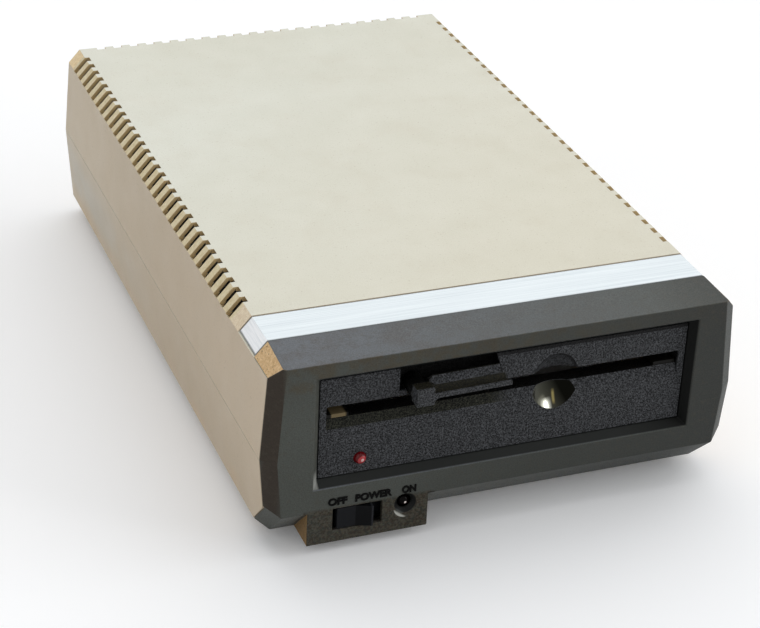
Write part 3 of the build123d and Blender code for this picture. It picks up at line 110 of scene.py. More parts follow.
class Look(Tree):
    """A material in the making, with the patterns and masks that the recipes need.

    A mask is a value from 0 to 1. Places, sizes and depths are in millimetres.
    """

    def __init__(self, name, **surface):
        self.material = bpy.data.materials.new(name)
        self.material.use_nodes = True
        super().__init__(self.material.node_tree)
        self.surface = self.tree.nodes["Principled BSDF"]
        for socket, value in surface.items():
            self.surface.inputs[socket.replace("_", " ")].default_value = value
        self.coords = self.put("TexCoord")
        self.where = self.put("SeparateXYZ", {0: self.coords.outputs["Object"]}).outputs
        self.facing = self.put("SeparateXYZ", {0: self.coords.outputs["Normal"]}).outputs

    def finish(self, **sockets):
        """Feeds the surface's sockets, and gives the material."""
        for socket, value in sockets.items():
            self.tree.links.new(value, self.surface.inputs[socket.replace("_", " ")])
        return self.material

    # Values and colours.
    def calc(self, operation, first, second=0.0, third=0.0):
        """The result of one math node."""
        return self.put("Math", {0: first, 1: second, 2: third}, operation=operation).outputs[0]

    def ramp(self, value, low, high, to_low=0.0, to_high=1.0):
        """value from low to high, mapped to to_low ... to_high and held beyond."""
        return self.put("MapRange", {"Value": value, "From Min": low, "From Max": high,
                                     "To Min": to_low, "To Max": to_high}).outputs[0]

    def blend(self, factor, first, second):
        """The first colour where factor is 0, and the second where it is 1."""
        return self.put("Mix", {0: factor, 6: first, 7: second}, data_type="RGBA").outputs[2]

    def tint(self, base, colour, *masks, share=1.0):
        """base, with a share of colour over it where every mask is 1."""
        mask = self.all_of(*masks)
        if share < 1:
            mask = self.calc("MULTIPLY", mask, share)
        return self.blend(mask, base, colour)

    # Patterns.
    def noise(self, size, detail=2.0, rough=0.5, stretch=(1, 1, 1), shift=0.0):
        """Noise with features of about a size, drawn out along an axis by stretch."""
        scale = 1 / (size * MM)
        place = self.put("Mapping", {"Vector": self.coords.outputs["Object"],
                                     "Location": (shift, shift, shift),
                                     "Scale": tuple(scale / part for part in stretch)})
        return self.put("TexNoise", {"Vector": place.outputs[0], "Scale": 1.0, "Detail": detail,
                                     "Roughness": rough}).outputs[0]

    def patches(self, size, low=0.3, high=0.7, detail=3.0, rough=0.5, shift=0.0):
        """Patches of about a size: 0 where the noise is below low, and 1 where it is above high."""
        return self.ramp(self.noise(size, detail, rough, shift=shift), low, high)

    def cell_edges(self, size):
        """The distance to the nearest edge of cells of a size, in cells."""
        scale = 1 / (size * MM)
        return self.put("TexVoronoi", {"Vector": self.coords.outputs["Object"], "Scale": scale},
                        feature="DISTANCE_TO_EDGE").outputs[0]

    def bump(self, height, depth, strength):
        """Bump of about a depth where height goes from 0 to 1."""
        return self.put("Bump", {"Height": height, "Distance": depth * MM,
                                 "Strength": strength}).outputs[0]

    # Masks.
    def all_of(self, *masks):
        """The product of several masks."""
        result = masks[0]
        for mask in masks[1:]:
            result = self.calc("MULTIPLY", result, mask)
        return result

    def outside(self, mask):
        """What a mask leaves out."""
        return self.calc("SUBTRACT", 1.0, mask)

    def along(self, axis, start, end, at_start=0.0, at_end=1.0):
        """From at_start to at_end between two places on an axis, and held beyond."""
        return self.ramp(self.where[axis], start * MM, end * MM, at_start, at_end)

    def inside(self, axis, low, high, soft=0.3):
        """1 between two places on an axis, and 0 beyond."""
        return self.all_of(self.along(axis, low - soft, low + soft),
                           self.along(axis, high - soft, high + soft, 1.0, 0.0))

    def aside(self, start, end):
        """0 to 1 between two distances from the case's middle, to the left as to the right."""
        return self.ramp(self.calc("ABSOLUTE", self.where[X]), start * MM, end * MM)

    def near(self, x, z, radius):
        """1 within a radius of a line that runs front to back, and 0 beyond."""
        place = self.put("CombineXYZ", {0: self.where[X], 2: self.where[Z]}).outputs[0]
        away = self.put("VectorMath", {0: place, 1: (x * MM, 0, z * MM)}, operation="DISTANCE")
        return self.ramp(away.outputs["Value"], radius * MM, (radius - 0.2) * MM)

    def turned(self, axis, start, end):
        """0 to 1 as the surface turns to face along an axis, between two parts of its normal."""
        return self.ramp(self.facing[axis], start, end)

    def turned_either(self, axis, start, end):
        """The same for a surface that faces either way along the axis."""
        return self.ramp(self.calc("ABSOLUTE", self.facing[axis]), start, end)

    def edges(self, radius):
        """0 on flat ground, towards 1 at edges rounded by a radius."""
        soft = self.put("Bevel", {"Radius": radius * MM}, samples=4).outputs[0]
        plain = self.put("NewGeometry").outputs["Normal"]
        agreement = self.put("VectorMath", {0: soft, 1: plain}, operation="DOT_PRODUCT")
        return self.ramp(agreement.outputs["Value"], 1.0, 0.8)

    def chamfer(self):
        """1 on the chamfers between the sides and the top."""
        return self.all_of(self.turned_either(X, 0.45, 0.65), self.turned(Z, 0.4, 0.6),
                           self.along(Z, SHOULDER - 1.6, SHOULDER - 0.6))


# ---------------------------------------------------------------- the beige covers
def cover_top(look, drift):
    """The flat top: greenish, a painted stand-in for the cool light from above, and creamier to the
    front right.
    """
    top = look.blend(drift, linear(218, 219, 207), linear(212, 212, 198))
    diagonal = look.calc("SUBTRACT", look.where[X], look.where[Y])
    return look.tint(top, linear(216, 212, 194), look.ramp(diagonal, -100 * MM, 120 * MM),
                     share=0.8)


def cover_sides(look, drift):
    """The sides: warmer as painted light, paler to the rear, a cool patch behind, warm stains at
    the foot.
    """
    side = look.blend(drift, linear(207, 191, 168), linear(215, 198, 175))
    side = look.tint(side, linear(221, 209, 188), look.along(Y, -20, 150), share=0.6)
    below_waist = look.all_of(look.along(Z, 46, 30), look.along(Z, 12, 20))
    cool = look.all_of(below_waist, look.along(Y, 0, 120),
                       look.patches(38, 0.35, 0.55, detail=2.0, shift=7.0))
    side = look.tint(side, linear(204, 206, 202), cool, share=0.45)
    warm = look.all_of(look.along(Z, 18, 9), look.patches(26, 0.45, 0.65, shift=14.0))
    return look.tint(side, linear(224, 190, 146), warm, share=0.35)


def cover_chamfers(look):
    """The top chamfers: tan ribs between the slots, and worn ends that are yellower behind."""
    ribs = look.blend(look.patches(1.6), linear(232, 219, 184), linear(214, 197, 156))
    patchy = look.patches(1.1, 0.35, 0.7, detail=4.0, rough=0.7)
    yellow = look.blend(patchy, linear(246, 224, 182), linear(226, 198, 148))
    pale = look.blend(patchy, linear(240, 225, 198), linear(218, 196, 164))
    worn = look.blend(look.along(Y, -100, 100), pale, yellow)
    return look.blend(look.inside(Y, *VENTS, soft=0.2), worn, ribs)


def case_plastic():
    """Aged beige moulding: fine grain, tan chamfers, and painted light that greys the top and warms
    the sides.
    """
    look = Look("case_plastic", Specular_IOR_Level=0.3)
    drift = look.patches(90, detail=2.0)
    # Painted light: the top and the sides take differently tinted copies of the beige.
    colour = look.blend(look.turned(Z, 0.75, 0.95), cover_sides(look, drift),
                        cover_top(look, drift))
    colour = look.blend(look.chamfer(), colour, cover_chamfers(look))
    # Walls of the vent slots, with painted shade darkening them towards their foot.
    slots = look.all_of(look.turned_either(Y, 0.5, 0.9), look.aside(SIDE - 11.2, SIDE - 10.8),
                        look.along(Z, SHOULDER - 6.6, SHOULDER - 5.6),
                        look.inside(Y, *VENTS, soft=0.2))
    colour = look.tint(colour, linear(214, 188, 138), slots)
    colour = look.tint(colour, linear(92, 76, 48), slots,
                       look.along(Z, SHOULDER - 0.6, SHOULDER - 3.6))
    # Specks, grain and grime over all of it.
    grain = look.noise(0.55, 3.0, 0.6)
    specks = look.patches(0.9, 0.64, 0.72, detail=2.0, rough=0.6, shift=3.0)
    colour = look.tint(colour, linear(150, 134, 108), specks, share=0.3)
    colour = look.tint(colour, linear(170, 163, 146), look.ramp(grain, 0.3, 0.7), share=0.16)
    grime = look.patches(22, 0.5, 0.8, detail=4.0, rough=0.6, shift=9.0)
    colour = look.tint(colour, linear(178, 160, 130), grime, share=0.12)
    return look.finish(Base_Color=colour, Normal=look.bump(grain, 0.06, 1.0),
                       Roughness=look.ramp(look.noise(14, 3.0), 0.3, 0.7, 0.48, 0.62))


# ---------------------------------------------------------------- the dark front
def front_greys(look):
    """Grey, with painted shade darkening it to the right: on the face, hood, side bevels and chin.
    """
    base = look.blend(look.patches(40), linear(90, 94, 90), linear(82, 85, 81))
    base = look.tint(base, linear(60, 62, 61), look.along(X, -80, 90), share=0.8)
    # The hood: painted lighter on its left, with painted shade towards its right end.
    hood = look.blend(look.along(X, -80, 85), linear(103, 107, 112), linear(77, 81, 77))
    hood = look.tint(hood, linear(56, 59, 56), look.along(X, 60, 95))
    base = look.tint(base, hood, look.turned(Z, 0.35, 0.5))
    base = front_browns(look, base)
    # Painted light and shade on the side bevels: darker on the left, lighter on the right where the
    # light falls.
    bevel = look.blend(look.along(X, -50, 50), linear(64, 57, 50), linear(76, 79, 77))
    base = look.tint(base, bevel, look.turned_either(X, 0.5, 0.62), look.turned(Y, -0.5, -0.62),
                     look.aside(SIDE - 9, SIDE - 7))
    # The chin: painted lighter on the left and darker to the right, as painted light and shade.
    chin = look.blend(look.along(X, -30, 60), linear(106, 109, 106), linear(74, 78, 76))
    return look.tint(base, chin, look.turned(Z, -0.5, -0.62), look.turned(Y, -0.5, -0.62))


def front_browns(look, base):
    """Brown that shows through: on the hood's left, on the brow and right over the opening."""
    brown = look.patches(11, 0.42, 0.62, detail=4.0, rough=0.65, shift=4.0)
    base = look.tint(base, linear(74, 60, 44), brown,
                     look.along(Z, BEZEL_HIGH.z - 3.4, BEZEL_HIGH.z + 6.6),
                     look.along(X, -80, 50, 0.30, 0.06))
    forward = look.turned(Y, -0.35, -0.55)
    brow = look.patches(5, 0.40, 0.60, detail=4.0, rough=0.6, shift=7.0)
    base = look.tint(base, linear(86, 74, 52), brow, forward,
                     look.along(Z, BEZEL_HIGH.z - 2.9, BEZEL_HIGH.z - 1.4),
                     look.along(X, -20, 60, 0.45, 0.06))
    return look.tint(base, linear(40, 34, 22), forward,
                     look.inside(X, BEZEL_LOW.x - 2.45, BEZEL_HIGH.x + 2.45),
                     look.along(Z, BEZEL_HIGH.z - 0.2, BEZEL_HIGH.z + 0.2),
                     look.along(Z, BEZEL_HIGH.z + 0.2, BEZEL_HIGH.z + 2.2, 1.0, 0.0), share=0.7)


def front_tab(look, base):
    """The switch's tab: dirty and speckled, with painted shade in a notch beside it and a worn left
    wall.
    """
    tab = look.all_of(look.inside(X, TAB[0] - 1.4, TAB[1] + 1.0),
                      look.along(Z, CHIN + 1.4, CHIN - 0.1))
    base = look.tint(base, linear(48, 49, 42), tab, look.along(X, -75, -35, 0.25, 0.6))
    rust = look.patches(1.3, 0.42, 0.56, detail=4.0, rough=0.7, shift=6.0)
    base = look.tint(base, linear(88, 60, 42), tab, rust, share=0.45)
    olive = look.patches(1.0, 0.50, 0.62, detail=4.0, rough=0.7, shift=12.0)
    base = look.tint(base, linear(82, 84, 58), tab, olive, share=0.5)
    grit = look.blend(look.patches(0.8, 0.42, 0.60, detail=2.0, shift=9.0),
                      linear(22, 24, 21), linear(84, 82, 72))
    base = look.tint(base, grit, tab, share=0.5)
    # Painted shade in a small notch where the tab meets the chin.
    base = look.tint(base, linear(4, 4, 4), look.inside(X, TAB[1] - 0.2, TAB[1] + 2.6),
                     look.inside(Z, CHIN - 0.5, CHIN + 0.4))
    return look.tint(base, linear(146, 116, 74), look.turned(X, -0.7, -0.9),
                     look.inside(X, TAB[0] - 0.4, TAB[0] + 0.4, soft=0.1))


def front_border(look, base):
    """The recessed border round the bezel: painted shade, with painted light on its left wall and
    lower left.
    """
    reach = 3.1
    border = look.all_of(look.inside(X, BEZEL_LOW.x - reach, BEZEL_HIGH.x + reach),
                         look.inside(Z, BEZEL_LOW.z - reach, BEZEL_HIGH.z + reach),
                         look.along(Y, FRONT + 0.2, FRONT + 0.6))
    # Painted shade in the recess, darkest on the right.
    dark = look.blend(look.along(X, 50, 74), linear(34, 36, 35), linear(5, 6, 5))
    base = look.tint(base, dark, border)
    # Painted light on the left wall, brightest at its lower corner.
    wall = look.all_of(border, look.along(X, BEZEL_LOW.x - 1.2, BEZEL_LOW.x - 0.4, 1.0, 0.0))
    uneven = look.ramp(look.noise(3.0, 3.0, 0.6, shift=3.0), 0.3, 0.7, 0.5, 1.0)
    base = look.tint(base, linear(84, 86, 80), wall, uneven)
    return look.tint(base, linear(150, 152, 148), wall,
                     look.inside(Z, BEZEL_LOW.z - 3.5, BEZEL_LOW.z + 3.0, soft=2.0))


def front_countersink(look, base):
    """The countersink of the power lamp: painted shade, with a painted highlight crescent at its
    lower left.
    """
    lean_left = look.calc("MULTIPLY", look.calc("SUBTRACT", look.where[X], LAMP.x * MM), -0.55)
    lean_down = look.calc("MULTIPLY", look.calc("SUBTRACT", look.where[Z], LAMP.z * MM), -0.72)
    lean = look.calc("ADD", lean_left, lean_down)
    # Painted shade in the cone, lighter towards the lower left where it faces the light.
    cone = look.blend(look.ramp(lean, 2.2 * MM, 3.4 * MM), linear(15, 16, 15), linear(96, 102, 99))
    base = look.tint(base, cone, look.near(LAMP.x, LAMP.z, 5.6),
                     look.along(Y, FRONT + 0.1, FRONT + 0.3))
    return look.tint(base, linear(192, 194, 188), look.near(LAMP.x, LAMP.z, 4.75),
                     look.ramp(lean, 2.9 * MM, 3.5 * MM))


def front_paint():
    """Dark grey paint, speckled and worn at its edges, and to the tan moulding on the chamfers."""
    look = Look("front_paint", Specular_IOR_Level=0.12)
    base = front_tab(look, front_greys(look))
    mottle = look.patches(2.2, 0.52, 0.74, detail=4.0, rough=0.65)
    base = look.tint(base, linear(86, 80, 70), mottle, share=0.35)
    fine = look.noise(0.5, 3.0, 0.6)
    base = look.tint(base, linear(38, 38, 36), look.ramp(fine, 0.35, 0.7), share=0.38)
    chips = look.patches(3.0, 0.45, 0.62, detail=4.0, rough=0.7)
    base = look.tint(base, linear(118, 108, 92), look.edges(0.6), chips, share=0.45)
    base = front_countersink(look, front_border(look, base))
    tan = look.blend(look.patches(1.2, 0.35, 0.65, detail=4.0, rough=0.7, shift=2.0),
                     linear(228, 198, 154), linear(196, 160, 114))
    pits = look.patches(0.8, 0.66, 0.70, detail=2.0, shift=5.0)
    tan = look.tint(tan, linear(70, 48, 30), pits)
    base = look.tint(base, tan, look.chamfer())
    return look.finish(Base_Color=base, Roughness=look.ramp(fine, 0.3, 0.7, 0.42, 0.60),
                       Normal=look.bump(fine, 0.06, 0.9))


# ---------------------------------------------------------------- the black bezel and its lever
CRINKLE_DEPTH = 0.3


def crinkle(look):
    """Black moulding with a fine leather-like crinkle: its colour, with painted highlights on its
    ridges, and its height.
    """
    ridges = look.patches(0.64, 0.38, 0.64, detail=2.0, rough=0.55)
    # The ridges are painted lighter, a painted highlight on the crinkle's tops.
    colour = look.blend(ridges, linear(24, 25, 26), linear(92, 94, 98))
    broad = look.patches(2.4, 0.35, 0.65, detail=2.0, shift=3.0)
    return look.tint(colour, linear(34, 36, 38), broad, share=0.25), ridges


def scoop_surface(look):
    """1 on the thumb scoop, found by the distance from the middle of its ellipsoid."""
    middle = (SCOOP_X * MM, (BEZEL + SCOOP_DEPTH - SCOOP_RADIUS) * MM, SCOOP_Z * MM)
    round_scale = 1 / (SCOOP_RADIUS * MM)
    tall_scale = round_scale * SCOOP_HALF_WIDTH / SCOOP_HALF_HEIGHT
    away = look.put("VectorMath", {0: look.coords.outputs["Object"], 1: middle},
                    operation="SUBTRACT")
    away = look.put("VectorMath", {0: away.outputs[0], 1: (round_scale, round_scale, tall_scale)},
                    operation="MULTIPLY")
    distance = look.put("VectorMath", {0: away.outputs[0]}, operation="LENGTH").outputs["Value"]
    return look.ramp(distance, 1.006, 1.003)


def scoop_mirror(look):
    """The painted reflection in the polished hollow: dark on its right, bright at its lower left.
    """
    across = look.calc("DIVIDE", look.calc("SUBTRACT", look.where[X], SCOOP_X * MM),
                       SCOOP_HALF_WIDTH * MM)
    upward = look.calc("DIVIDE", look.calc("SUBTRACT", look.where[Z], SCOOP_Z * MM),
                       SCOOP_HALF_HEIGHT * MM)
    slanting = look.calc("MULTIPLY_ADD", upward, 0.6, across)
    mirror = look.blend(look.ramp(slanting, -0.9, 0.1), linear(66, 66, 58), linear(13, 13, 10))
    # A painted highlight at the lower left.
    mirror = look.tint(mirror, linear(196, 196, 184), look.ramp(upward, -0.66, -0.84),
                       look.ramp(across, -0.55, -0.25), look.ramp(across, 0.0, -0.16))
    # A painted golden glint up the middle.
    return look.tint(mirror, linear(142, 130, 84), look.ramp(upward, -0.42, -0.58),
                     look.ramp(upward, -0.92, -0.80), look.ramp(across, 0.0, 0.06),
                     look.ramp(across, 0.16, 0.10), share=0.8)


def bezel_plastic():
    """The crinkled bezel: painted shade in its deep places, the scoop's lower half polished with a
    painted reflection.
    """
    look = Look("bezel_plastic", Specular_IOR_Level=0.12)
    colour, ridges = crinkle(look)
    scoop = scoop_surface(look)
    # The slope under the slot carries a painted shadow below the lever.
    slope = look.all_of(look.inside(Z, SLOT[0] - 3.5, SLOT[0] + 0.1, soft=0.1),
                        look.turned(Z, 0.2, 0.4), look.along(Y, BEZEL + 2.4, BEZEL + 2.2),
                        look.outside(scoop))
    lever_shadow = look.blend(look.patches(0.5, 0.42, 0.62, detail=2.0, rough=0.6, shift=5.0),
                       linear(5, 6, 4), linear(60, 61, 52))
    colour = look.tint(colour, lever_shadow, slope, look.along(X, 4, -6))
    # Painted shade: what lies back from the face is black, but for the slope and the scoop's open
    # ground.
    open_ground = look.all_of(scoop, look.turned(Z, -0.62, -0.52))
    colour = look.tint(colour, linear(3, 3, 3), look.along(Y, BEZEL + 0.5, BEZEL + 1.2),
                       look.outside(look.calc("MAXIMUM", slope, open_ground)))
    # The scoop's upper half is shaded, most along its edge.
    upper = look.all_of(scoop, look.along(Z, SLOT[1] - 0.2, SLOT[1]))
    colour = look.tint(colour, linear(12, 13, 14), upper, share=0.35)
    colour = look.tint(colour, linear(5, 5, 6), upper, look.along(Y, BEZEL + 0.9, BEZEL + 0.3),
                       share=0.85)
    # A painted shadow line where the bezel meets the front's opening.
    colour = look.tint(colour, linear(4, 4, 4), look.along(X, -20, 0),
                       look.along(Z, BEZEL_HIGH.z - 1.5, BEZEL_HIGH.z - 1.3), share=0.9)
    polished = look.all_of(scoop, look.along(Z, SLOT[0], SLOT[0] - 0.2))
    colour = look.tint(colour, scoop_mirror(look), polished)
    strength = look.ramp(polished, 0.0, 1.0, 0.9, 0.0)
    return look.finish(Base_Color=colour, Metallic=polished,
                       Roughness=look.ramp(polished, 0.0, 1.0, 0.5, 0.16),
                       Normal=look.bump(ridges, CRINKLE_DEPTH, strength))


def lever_plastic():
    """The same moulding on the lever: painted shade behind its lip and on its hub, painted
    highlights on its edges.
    """
    look = Look("lever_plastic", Specular_IOR_Level=0.12)
    colour, ridges = crinkle(look)
    behind_lip = look.along(Y, LEVER + 1.1, LEVER + 1.4)
    hollow = look.all_of(behind_lip, look.along(Y, LEVER + 5.62, LEVER + 5.58),
                         look.along(Z, LEVER_AXIS + 0.1, LEVER_AXIS + 0.3),
                         look.along(X, HUB_RIGHT - 0.3, HUB_RIGHT - 0.1))
    floor = look.all_of(behind_lip, look.turned(Z, 0.80, 0.92))
    # Painted shade, mottled, in the hollow and on the floor behind the lip.
    hollow_shade = look.blend(look.patches(0.5, 0.42, 0.66, detail=2.0, rough=0.6, shift=8.0),
                      linear(8, 8, 5), linear(44, 42, 30))
    colour = look.tint(colour, hollow_shade, look.calc("MAXIMUM", hollow, floor))
    # Painted shade on the hub.
    hub = look.all_of(look.along(Y, LEVER + 5.7, LEVER + 6.0),
                      look.along(X, HUB_RIGHT + 0.3, HUB_RIGHT + 0.1))
    colour = look.tint(colour, linear(8, 8, 7), hub)
    # A painted highlight along the edges.
    colour = look.tint(colour, linear(120, 120, 116), look.edges(0.25), look.outside(hub),
                       share=0.35)
    return look.finish(Base_Color=colour, Roughness=look.ramp(ridges, 0.0, 1.0, 0.55, 0.42),
                       Normal=look.bump(ridges, CRINKLE_DEPTH, 0.8))


# ---------------------------------------------------------------- small plastic pieces
GREY = linear(128, 128, 128)


def plain_plastic(name, colour, rough, grain, variation, sheen=0.45):
    """Moulded plastic: a faint drift of colour, and a fine even grain as deep as given."""
    look = Look(name, Specular_IOR_Level=sheen)
    fine = look.noise(0.4, 2.0, 0.6)
    base = look.blend(look.patches(9), colour, darkened(colour, 1 - 2 * variation))
    base = look.tint(base, GREY, look.ramp(fine, 0.35, 0.7), share=variation)
    return look.finish(Base_Color=base, Normal=look.bump(fine, grain, 0.7),
                       Roughness=look.ramp(fine, 0.3, 0.7, rough - 0.06, rough + 0.08))


def slider_plastic():
    """The power switch's slider: painted shade darkens its raised right half, a painted highlight
    its right edge.
    """
    look = Look("slider_plastic", Specular_IOR_Level=0.08)
    low, high = box("power_slider")
    middle = (low.x + high.x) / 2
    # Painted shade on the raised right half.
    base = look.blend(look.along(X, middle + 0.2, middle + 0.7),
                      linear(26, 27, 30), linear(9, 10, 12))
    # A painted highlight along the right edge.
    base = look.tint(base, linear(40, 41, 45), look.along(X, high.x - 0.9, high.x - 0.6))
    fine = look.noise(0.4, 2.0, 0.6)
    return look.finish(Base_Color=base, Roughness=look.ramp(fine, 0.3, 0.7, 0.36, 0.50),
                       Normal=look.bump(fine, 0.008, 0.7))


def guide_plastic():
    """Tan moulding of the disk guides: painted shade darkens them in the disk slot, but for the
    left guide's nose.
    """
    look = Look("tan_plastic", Specular_IOR_Level=0.12)
    fine = look.noise(0.4, 2.0, 0.6)
    base = look.blend(look.patches(9), linear(190, 158, 112), linear(176, 144, 98))
    base = look.tint(base, GREY, look.ramp(fine, 0.35, 0.7), share=0.06)
    low, high = box("left_disk_guide")
    # Painted light on the left guide's nose, and painted shade on the rest of the front ends.
    nose = look.blend(look.along(X, high.x - 1.5, high.x - 0.7),
                      linear(122, 108, 80), linear(10, 9, 7))
    nose = look.tint(nose, linear(16, 15, 12), look.aside(-low.x - 2.7, -low.x - 2.1))
    base = look.tint(base, nose, look.along(Y, FRONT + 16, FRONT + 13))
    return look.finish(Base_Color=base, Roughness=look.ramp(fine, 0.3, 0.7, 0.40, 0.54),
                       Normal=look.bump(fine, 0.015, 0.7))


def lens(name, lamp, colour, glow, spot, shine, sheen=0.2):
    """A moulded lamp: coloured resin, with painted light paler low on its right and a painted
    highlight spot on its dome.

    spot is the painted highlight's place, rightward and upward in radii of the lamp.
    """
    look = Look(name, Specular_IOR_Level=sheen)
    low, high = box(lamp)
    middle = (low + high) / 2
    radius = (high.x - low.x) / 2
    # Painted light in the heart, and a painted highlight dot on the dome.
    heart = look.near(middle.x + 0.12 * radius, middle.z - 0.10 * radius, 0.62 * radius)
    dot = look.near(middle.x + spot[0] * radius, middle.z + spot[1] * radius, 0.24 * radius)
    base = look.tint(look.blend(heart, colour, glow), linear(250, 240, 235), dot, share=shine)
    return look.finish(Base_Color=base,
                       Roughness=look.ramp(look.noise(0.6, 2.0), 0.3, 0.7, 0.08, 0.18))


# ---------------------------------------------------------------- metal, boards, rubber and felt
def strip_aluminium():
    """Brushed aluminium sheet: long fine lines across the case, with a painted reflection bright
    where it is bent down.
    """
    look = Look("strip_aluminium", Metallic=0.35, Specular_IOR_Level=0.2)
    lines = look.noise(0.22, 3.0, 0.6, stretch=(220, 1, 1))
    broad = look.noise(1.1, 2.0, 0.5, stretch=(60, 1, 1), shift=2.0)
    colour = look.blend(look.ramp(lines, 0.3, 0.7), linear(212, 219, 222), linear(184, 193, 198))
    colour = look.tint(colour, linear(216, 223, 226), look.ramp(broad, 0.45, 0.62), share=0.25)
    scratches = look.noise(0.3, 3.0, 0.6, stretch=(1, 40, 1), shift=4.0)
    # A painted reflection on the bent-down ends.
    bent_glare = look.blend(look.ramp(scratches, 0.3, 0.6), linear(228, 232, 236),
                       linear(252, 253, 255))
    colour = look.tint(colour, bent_glare, look.turned_either(X, 0.4, 0.6), share=0.85)
    # A painted shadow line along the sheet's edges.
    to_front = look.calc("SUBTRACT", look.where[Y], STRIP_LOW.y * MM)
    to_rear = look.calc("SUBTRACT", STRIP_HIGH.y * MM, look.where[Y])
    to_foot = look.calc("SUBTRACT", look.where[Z], STRIP_LOW.z * MM)
    to_edge = look.calc("MINIMUM", look.calc("MINIMUM", to_front, to_rear), to_foot)
    colour = look.tint(colour, linear(84, 88, 88),
                       look.ramp(to_edge, 0.25 * MM, 0.6 * MM, 1.0, 0.0), share=0.75)
    return look.finish(Base_Color=colour, Roughness=look.ramp(lines, 0.3, 0.7, 0.28, 0.44),
                       Normal=look.bump(lines, 0.008, 0.6))


def metal(name, colour, rough, grain_size, depth=0.012):
    """Bare or plated metal, with a grain of its own and faint stains."""
    look = Look(name, Metallic=1.0)
    grain = look.noise(grain_size, 3.0, 0.6)
    stains = look.patches(7, 0.45, 0.75, detail=4.0, rough=0.65)
    base = look.tint(colour, darkened(colour, 0.55), stains, share=0.15)
    return look.finish(Base_Color=base, Normal=look.bump(grain, depth, 0.7),
                       Roughness=look.ramp(grain, 0.3, 0.7, rough - 0.08, rough + 0.1))


def circuit_board():
    """Green board under lacquer, with tracks as a cell pattern, and painted shade at its front end.
    """
    look = Look("circuit_board", Roughness=0.35, Specular_IOR_Level=0.5)
    tracks = look.ramp(look.cell_edges(3.2), 0.05, 0.09)
    base = look.blend(tracks, linear(92, 128, 74), linear(38, 84, 52))
    base = look.tint(base, linear(60, 92, 48), look.patches(30, detail=2.0), share=0.3)
    # Painted shade where the front end lies in the drive's dark mouth.
    base = look.tint(base, linear(12, 16, 12), look.along(Y, FRONT + 30, FRONT + 26))
    return look.finish(Base_Color=base, Normal=look.bump(tracks, 0.03, 0.6))


def rubber_or_felt(name, colour, grain_size, depth):
    """An even matt body, with a grain of its own."""
    look = Look(name, Specular_IOR_Level=0.25)
    grain = look.noise(grain_size, 4.0, 0.65)
    base = look.blend(look.ramp(grain, 0.3, 0.7), darkened(colour, 0.8), colour)
    return look.finish(Base_Color=base, Roughness=look.ramp(grain, 0.3, 0.7, 0.7, 0.92),
                       Normal=look.bump(grain, depth, 0.8))


def grey_ribbon():
    """Flat cable: a rib along its length for each wire."""
    look = Look("grey_ribbon", Roughness=0.5, Specular_IOR_Level=0.4)
    wire_pitch = 1.27
    across = look.calc("FRACT", look.calc("MULTIPLY", look.where[X], 1 / (wire_pitch * MM)))
    from_middle = look.calc("ABSOLUTE", look.calc("SUBTRACT", across, 0.5))
    # Painted shade in the creases between the wires.
    base = look.blend(look.ramp(from_middle, 0.30, 0.48), linear(168, 168, 166),
                      linear(110, 110, 110))
    rib = look.ramp(from_middle, 0.5, 0.1)
    return look.finish(Base_Color=base, Normal=look.bump(rib, 0.3, 0.8))


# ---------------------------------------------------------------- finishes of the CAD nodes
def plain_name(material):
    """A material's name, without the number that Blender adds where two share one."""
    return material.name.split(".")[0]


MATERIALS = {plain_name(material): material for material in (
    case_plastic(), front_paint(), bezel_plastic(), lever_plastic(), strip_aluminium(),
    plain_plastic("black_plastic", linear(24, 25, 28), rough=0.42, grain=0.008, variation=0.02,
                  sheen=0.08),
    plain_plastic("letter_black", linear(7, 7, 7), rough=0.5, grain=0.004, variation=0.01,
                  sheen=0.05),
    plain_plastic("chip_plastic", linear(40, 40, 42), rough=0.55, grain=0.01, variation=0.05),
    plain_plastic("capacitor_sleeve", linear(28, 48, 96), rough=0.3, grain=0.006,
                  variation=0.05),
    plain_plastic("white_plastic", linear(226, 224, 216), rough=0.4, grain=0.01,
                  variation=0.03),
    plain_plastic("ceramic_head", linear(206, 200, 186), rough=0.2, grain=0.002,
                  variation=0.03),
    slider_plastic(), guide_plastic(),
    lens("red_lens", "drive_led", linear(96, 6, 12), linear(176, 60, 64),
         spot=(0.12, 0.0), shine=0.5),
    lens("dark_lens", "power_led", linear(8, 5, 5), linear(24, 10, 10),
         spot=(0.15, 0.45), shine=1.0, sheen=0.05),
    metal("cast_aluminium", linear(170, 172, 172), rough=0.5, grain_size=0.9, depth=0.03),
    metal("steel", linear(196, 197, 198), rough=0.28, grain_size=0.3),
    metal("zinc_steel", linear(206, 198, 170), rough=0.34, grain_size=0.4),
    metal("brass", linear(212, 178, 104), rough=0.25, grain_size=0.3),
    metal("motor_can", linear(150, 152, 154), rough=0.38, grain_size=0.4),
    circuit_board(), grey_ribbon(),
    rubber_or_felt("foot_rubber", linear(44, 42, 40), grain_size=0.5, depth=0.03),
    rubber_or_felt("belt_rubber", linear(26, 26, 26), grain_size=0.3, depth=0.02),
    rubber_or_felt("felt", linear(216, 212, 200), grain_size=0.25, depth=0.06))}

OWN_FINISH = {                # nodes that look unlike the rest of their slot
    "power_led": "dark_lens", "latch_lever": "lever_plastic", "power_slider": "slider_plastic"}


def dress(node):
    """Gives a CAD node its finish, by the name of the slot that the record gives it."""
    for slot in node.material_slots:
        finish = OWN_FINISH.get(node.name, plain_name(slot.material))
        slot.link = "OBJECT"
        slot.material = MATERIALS[finish]


for cad_node in nodes.values():
    dress(cad_node)


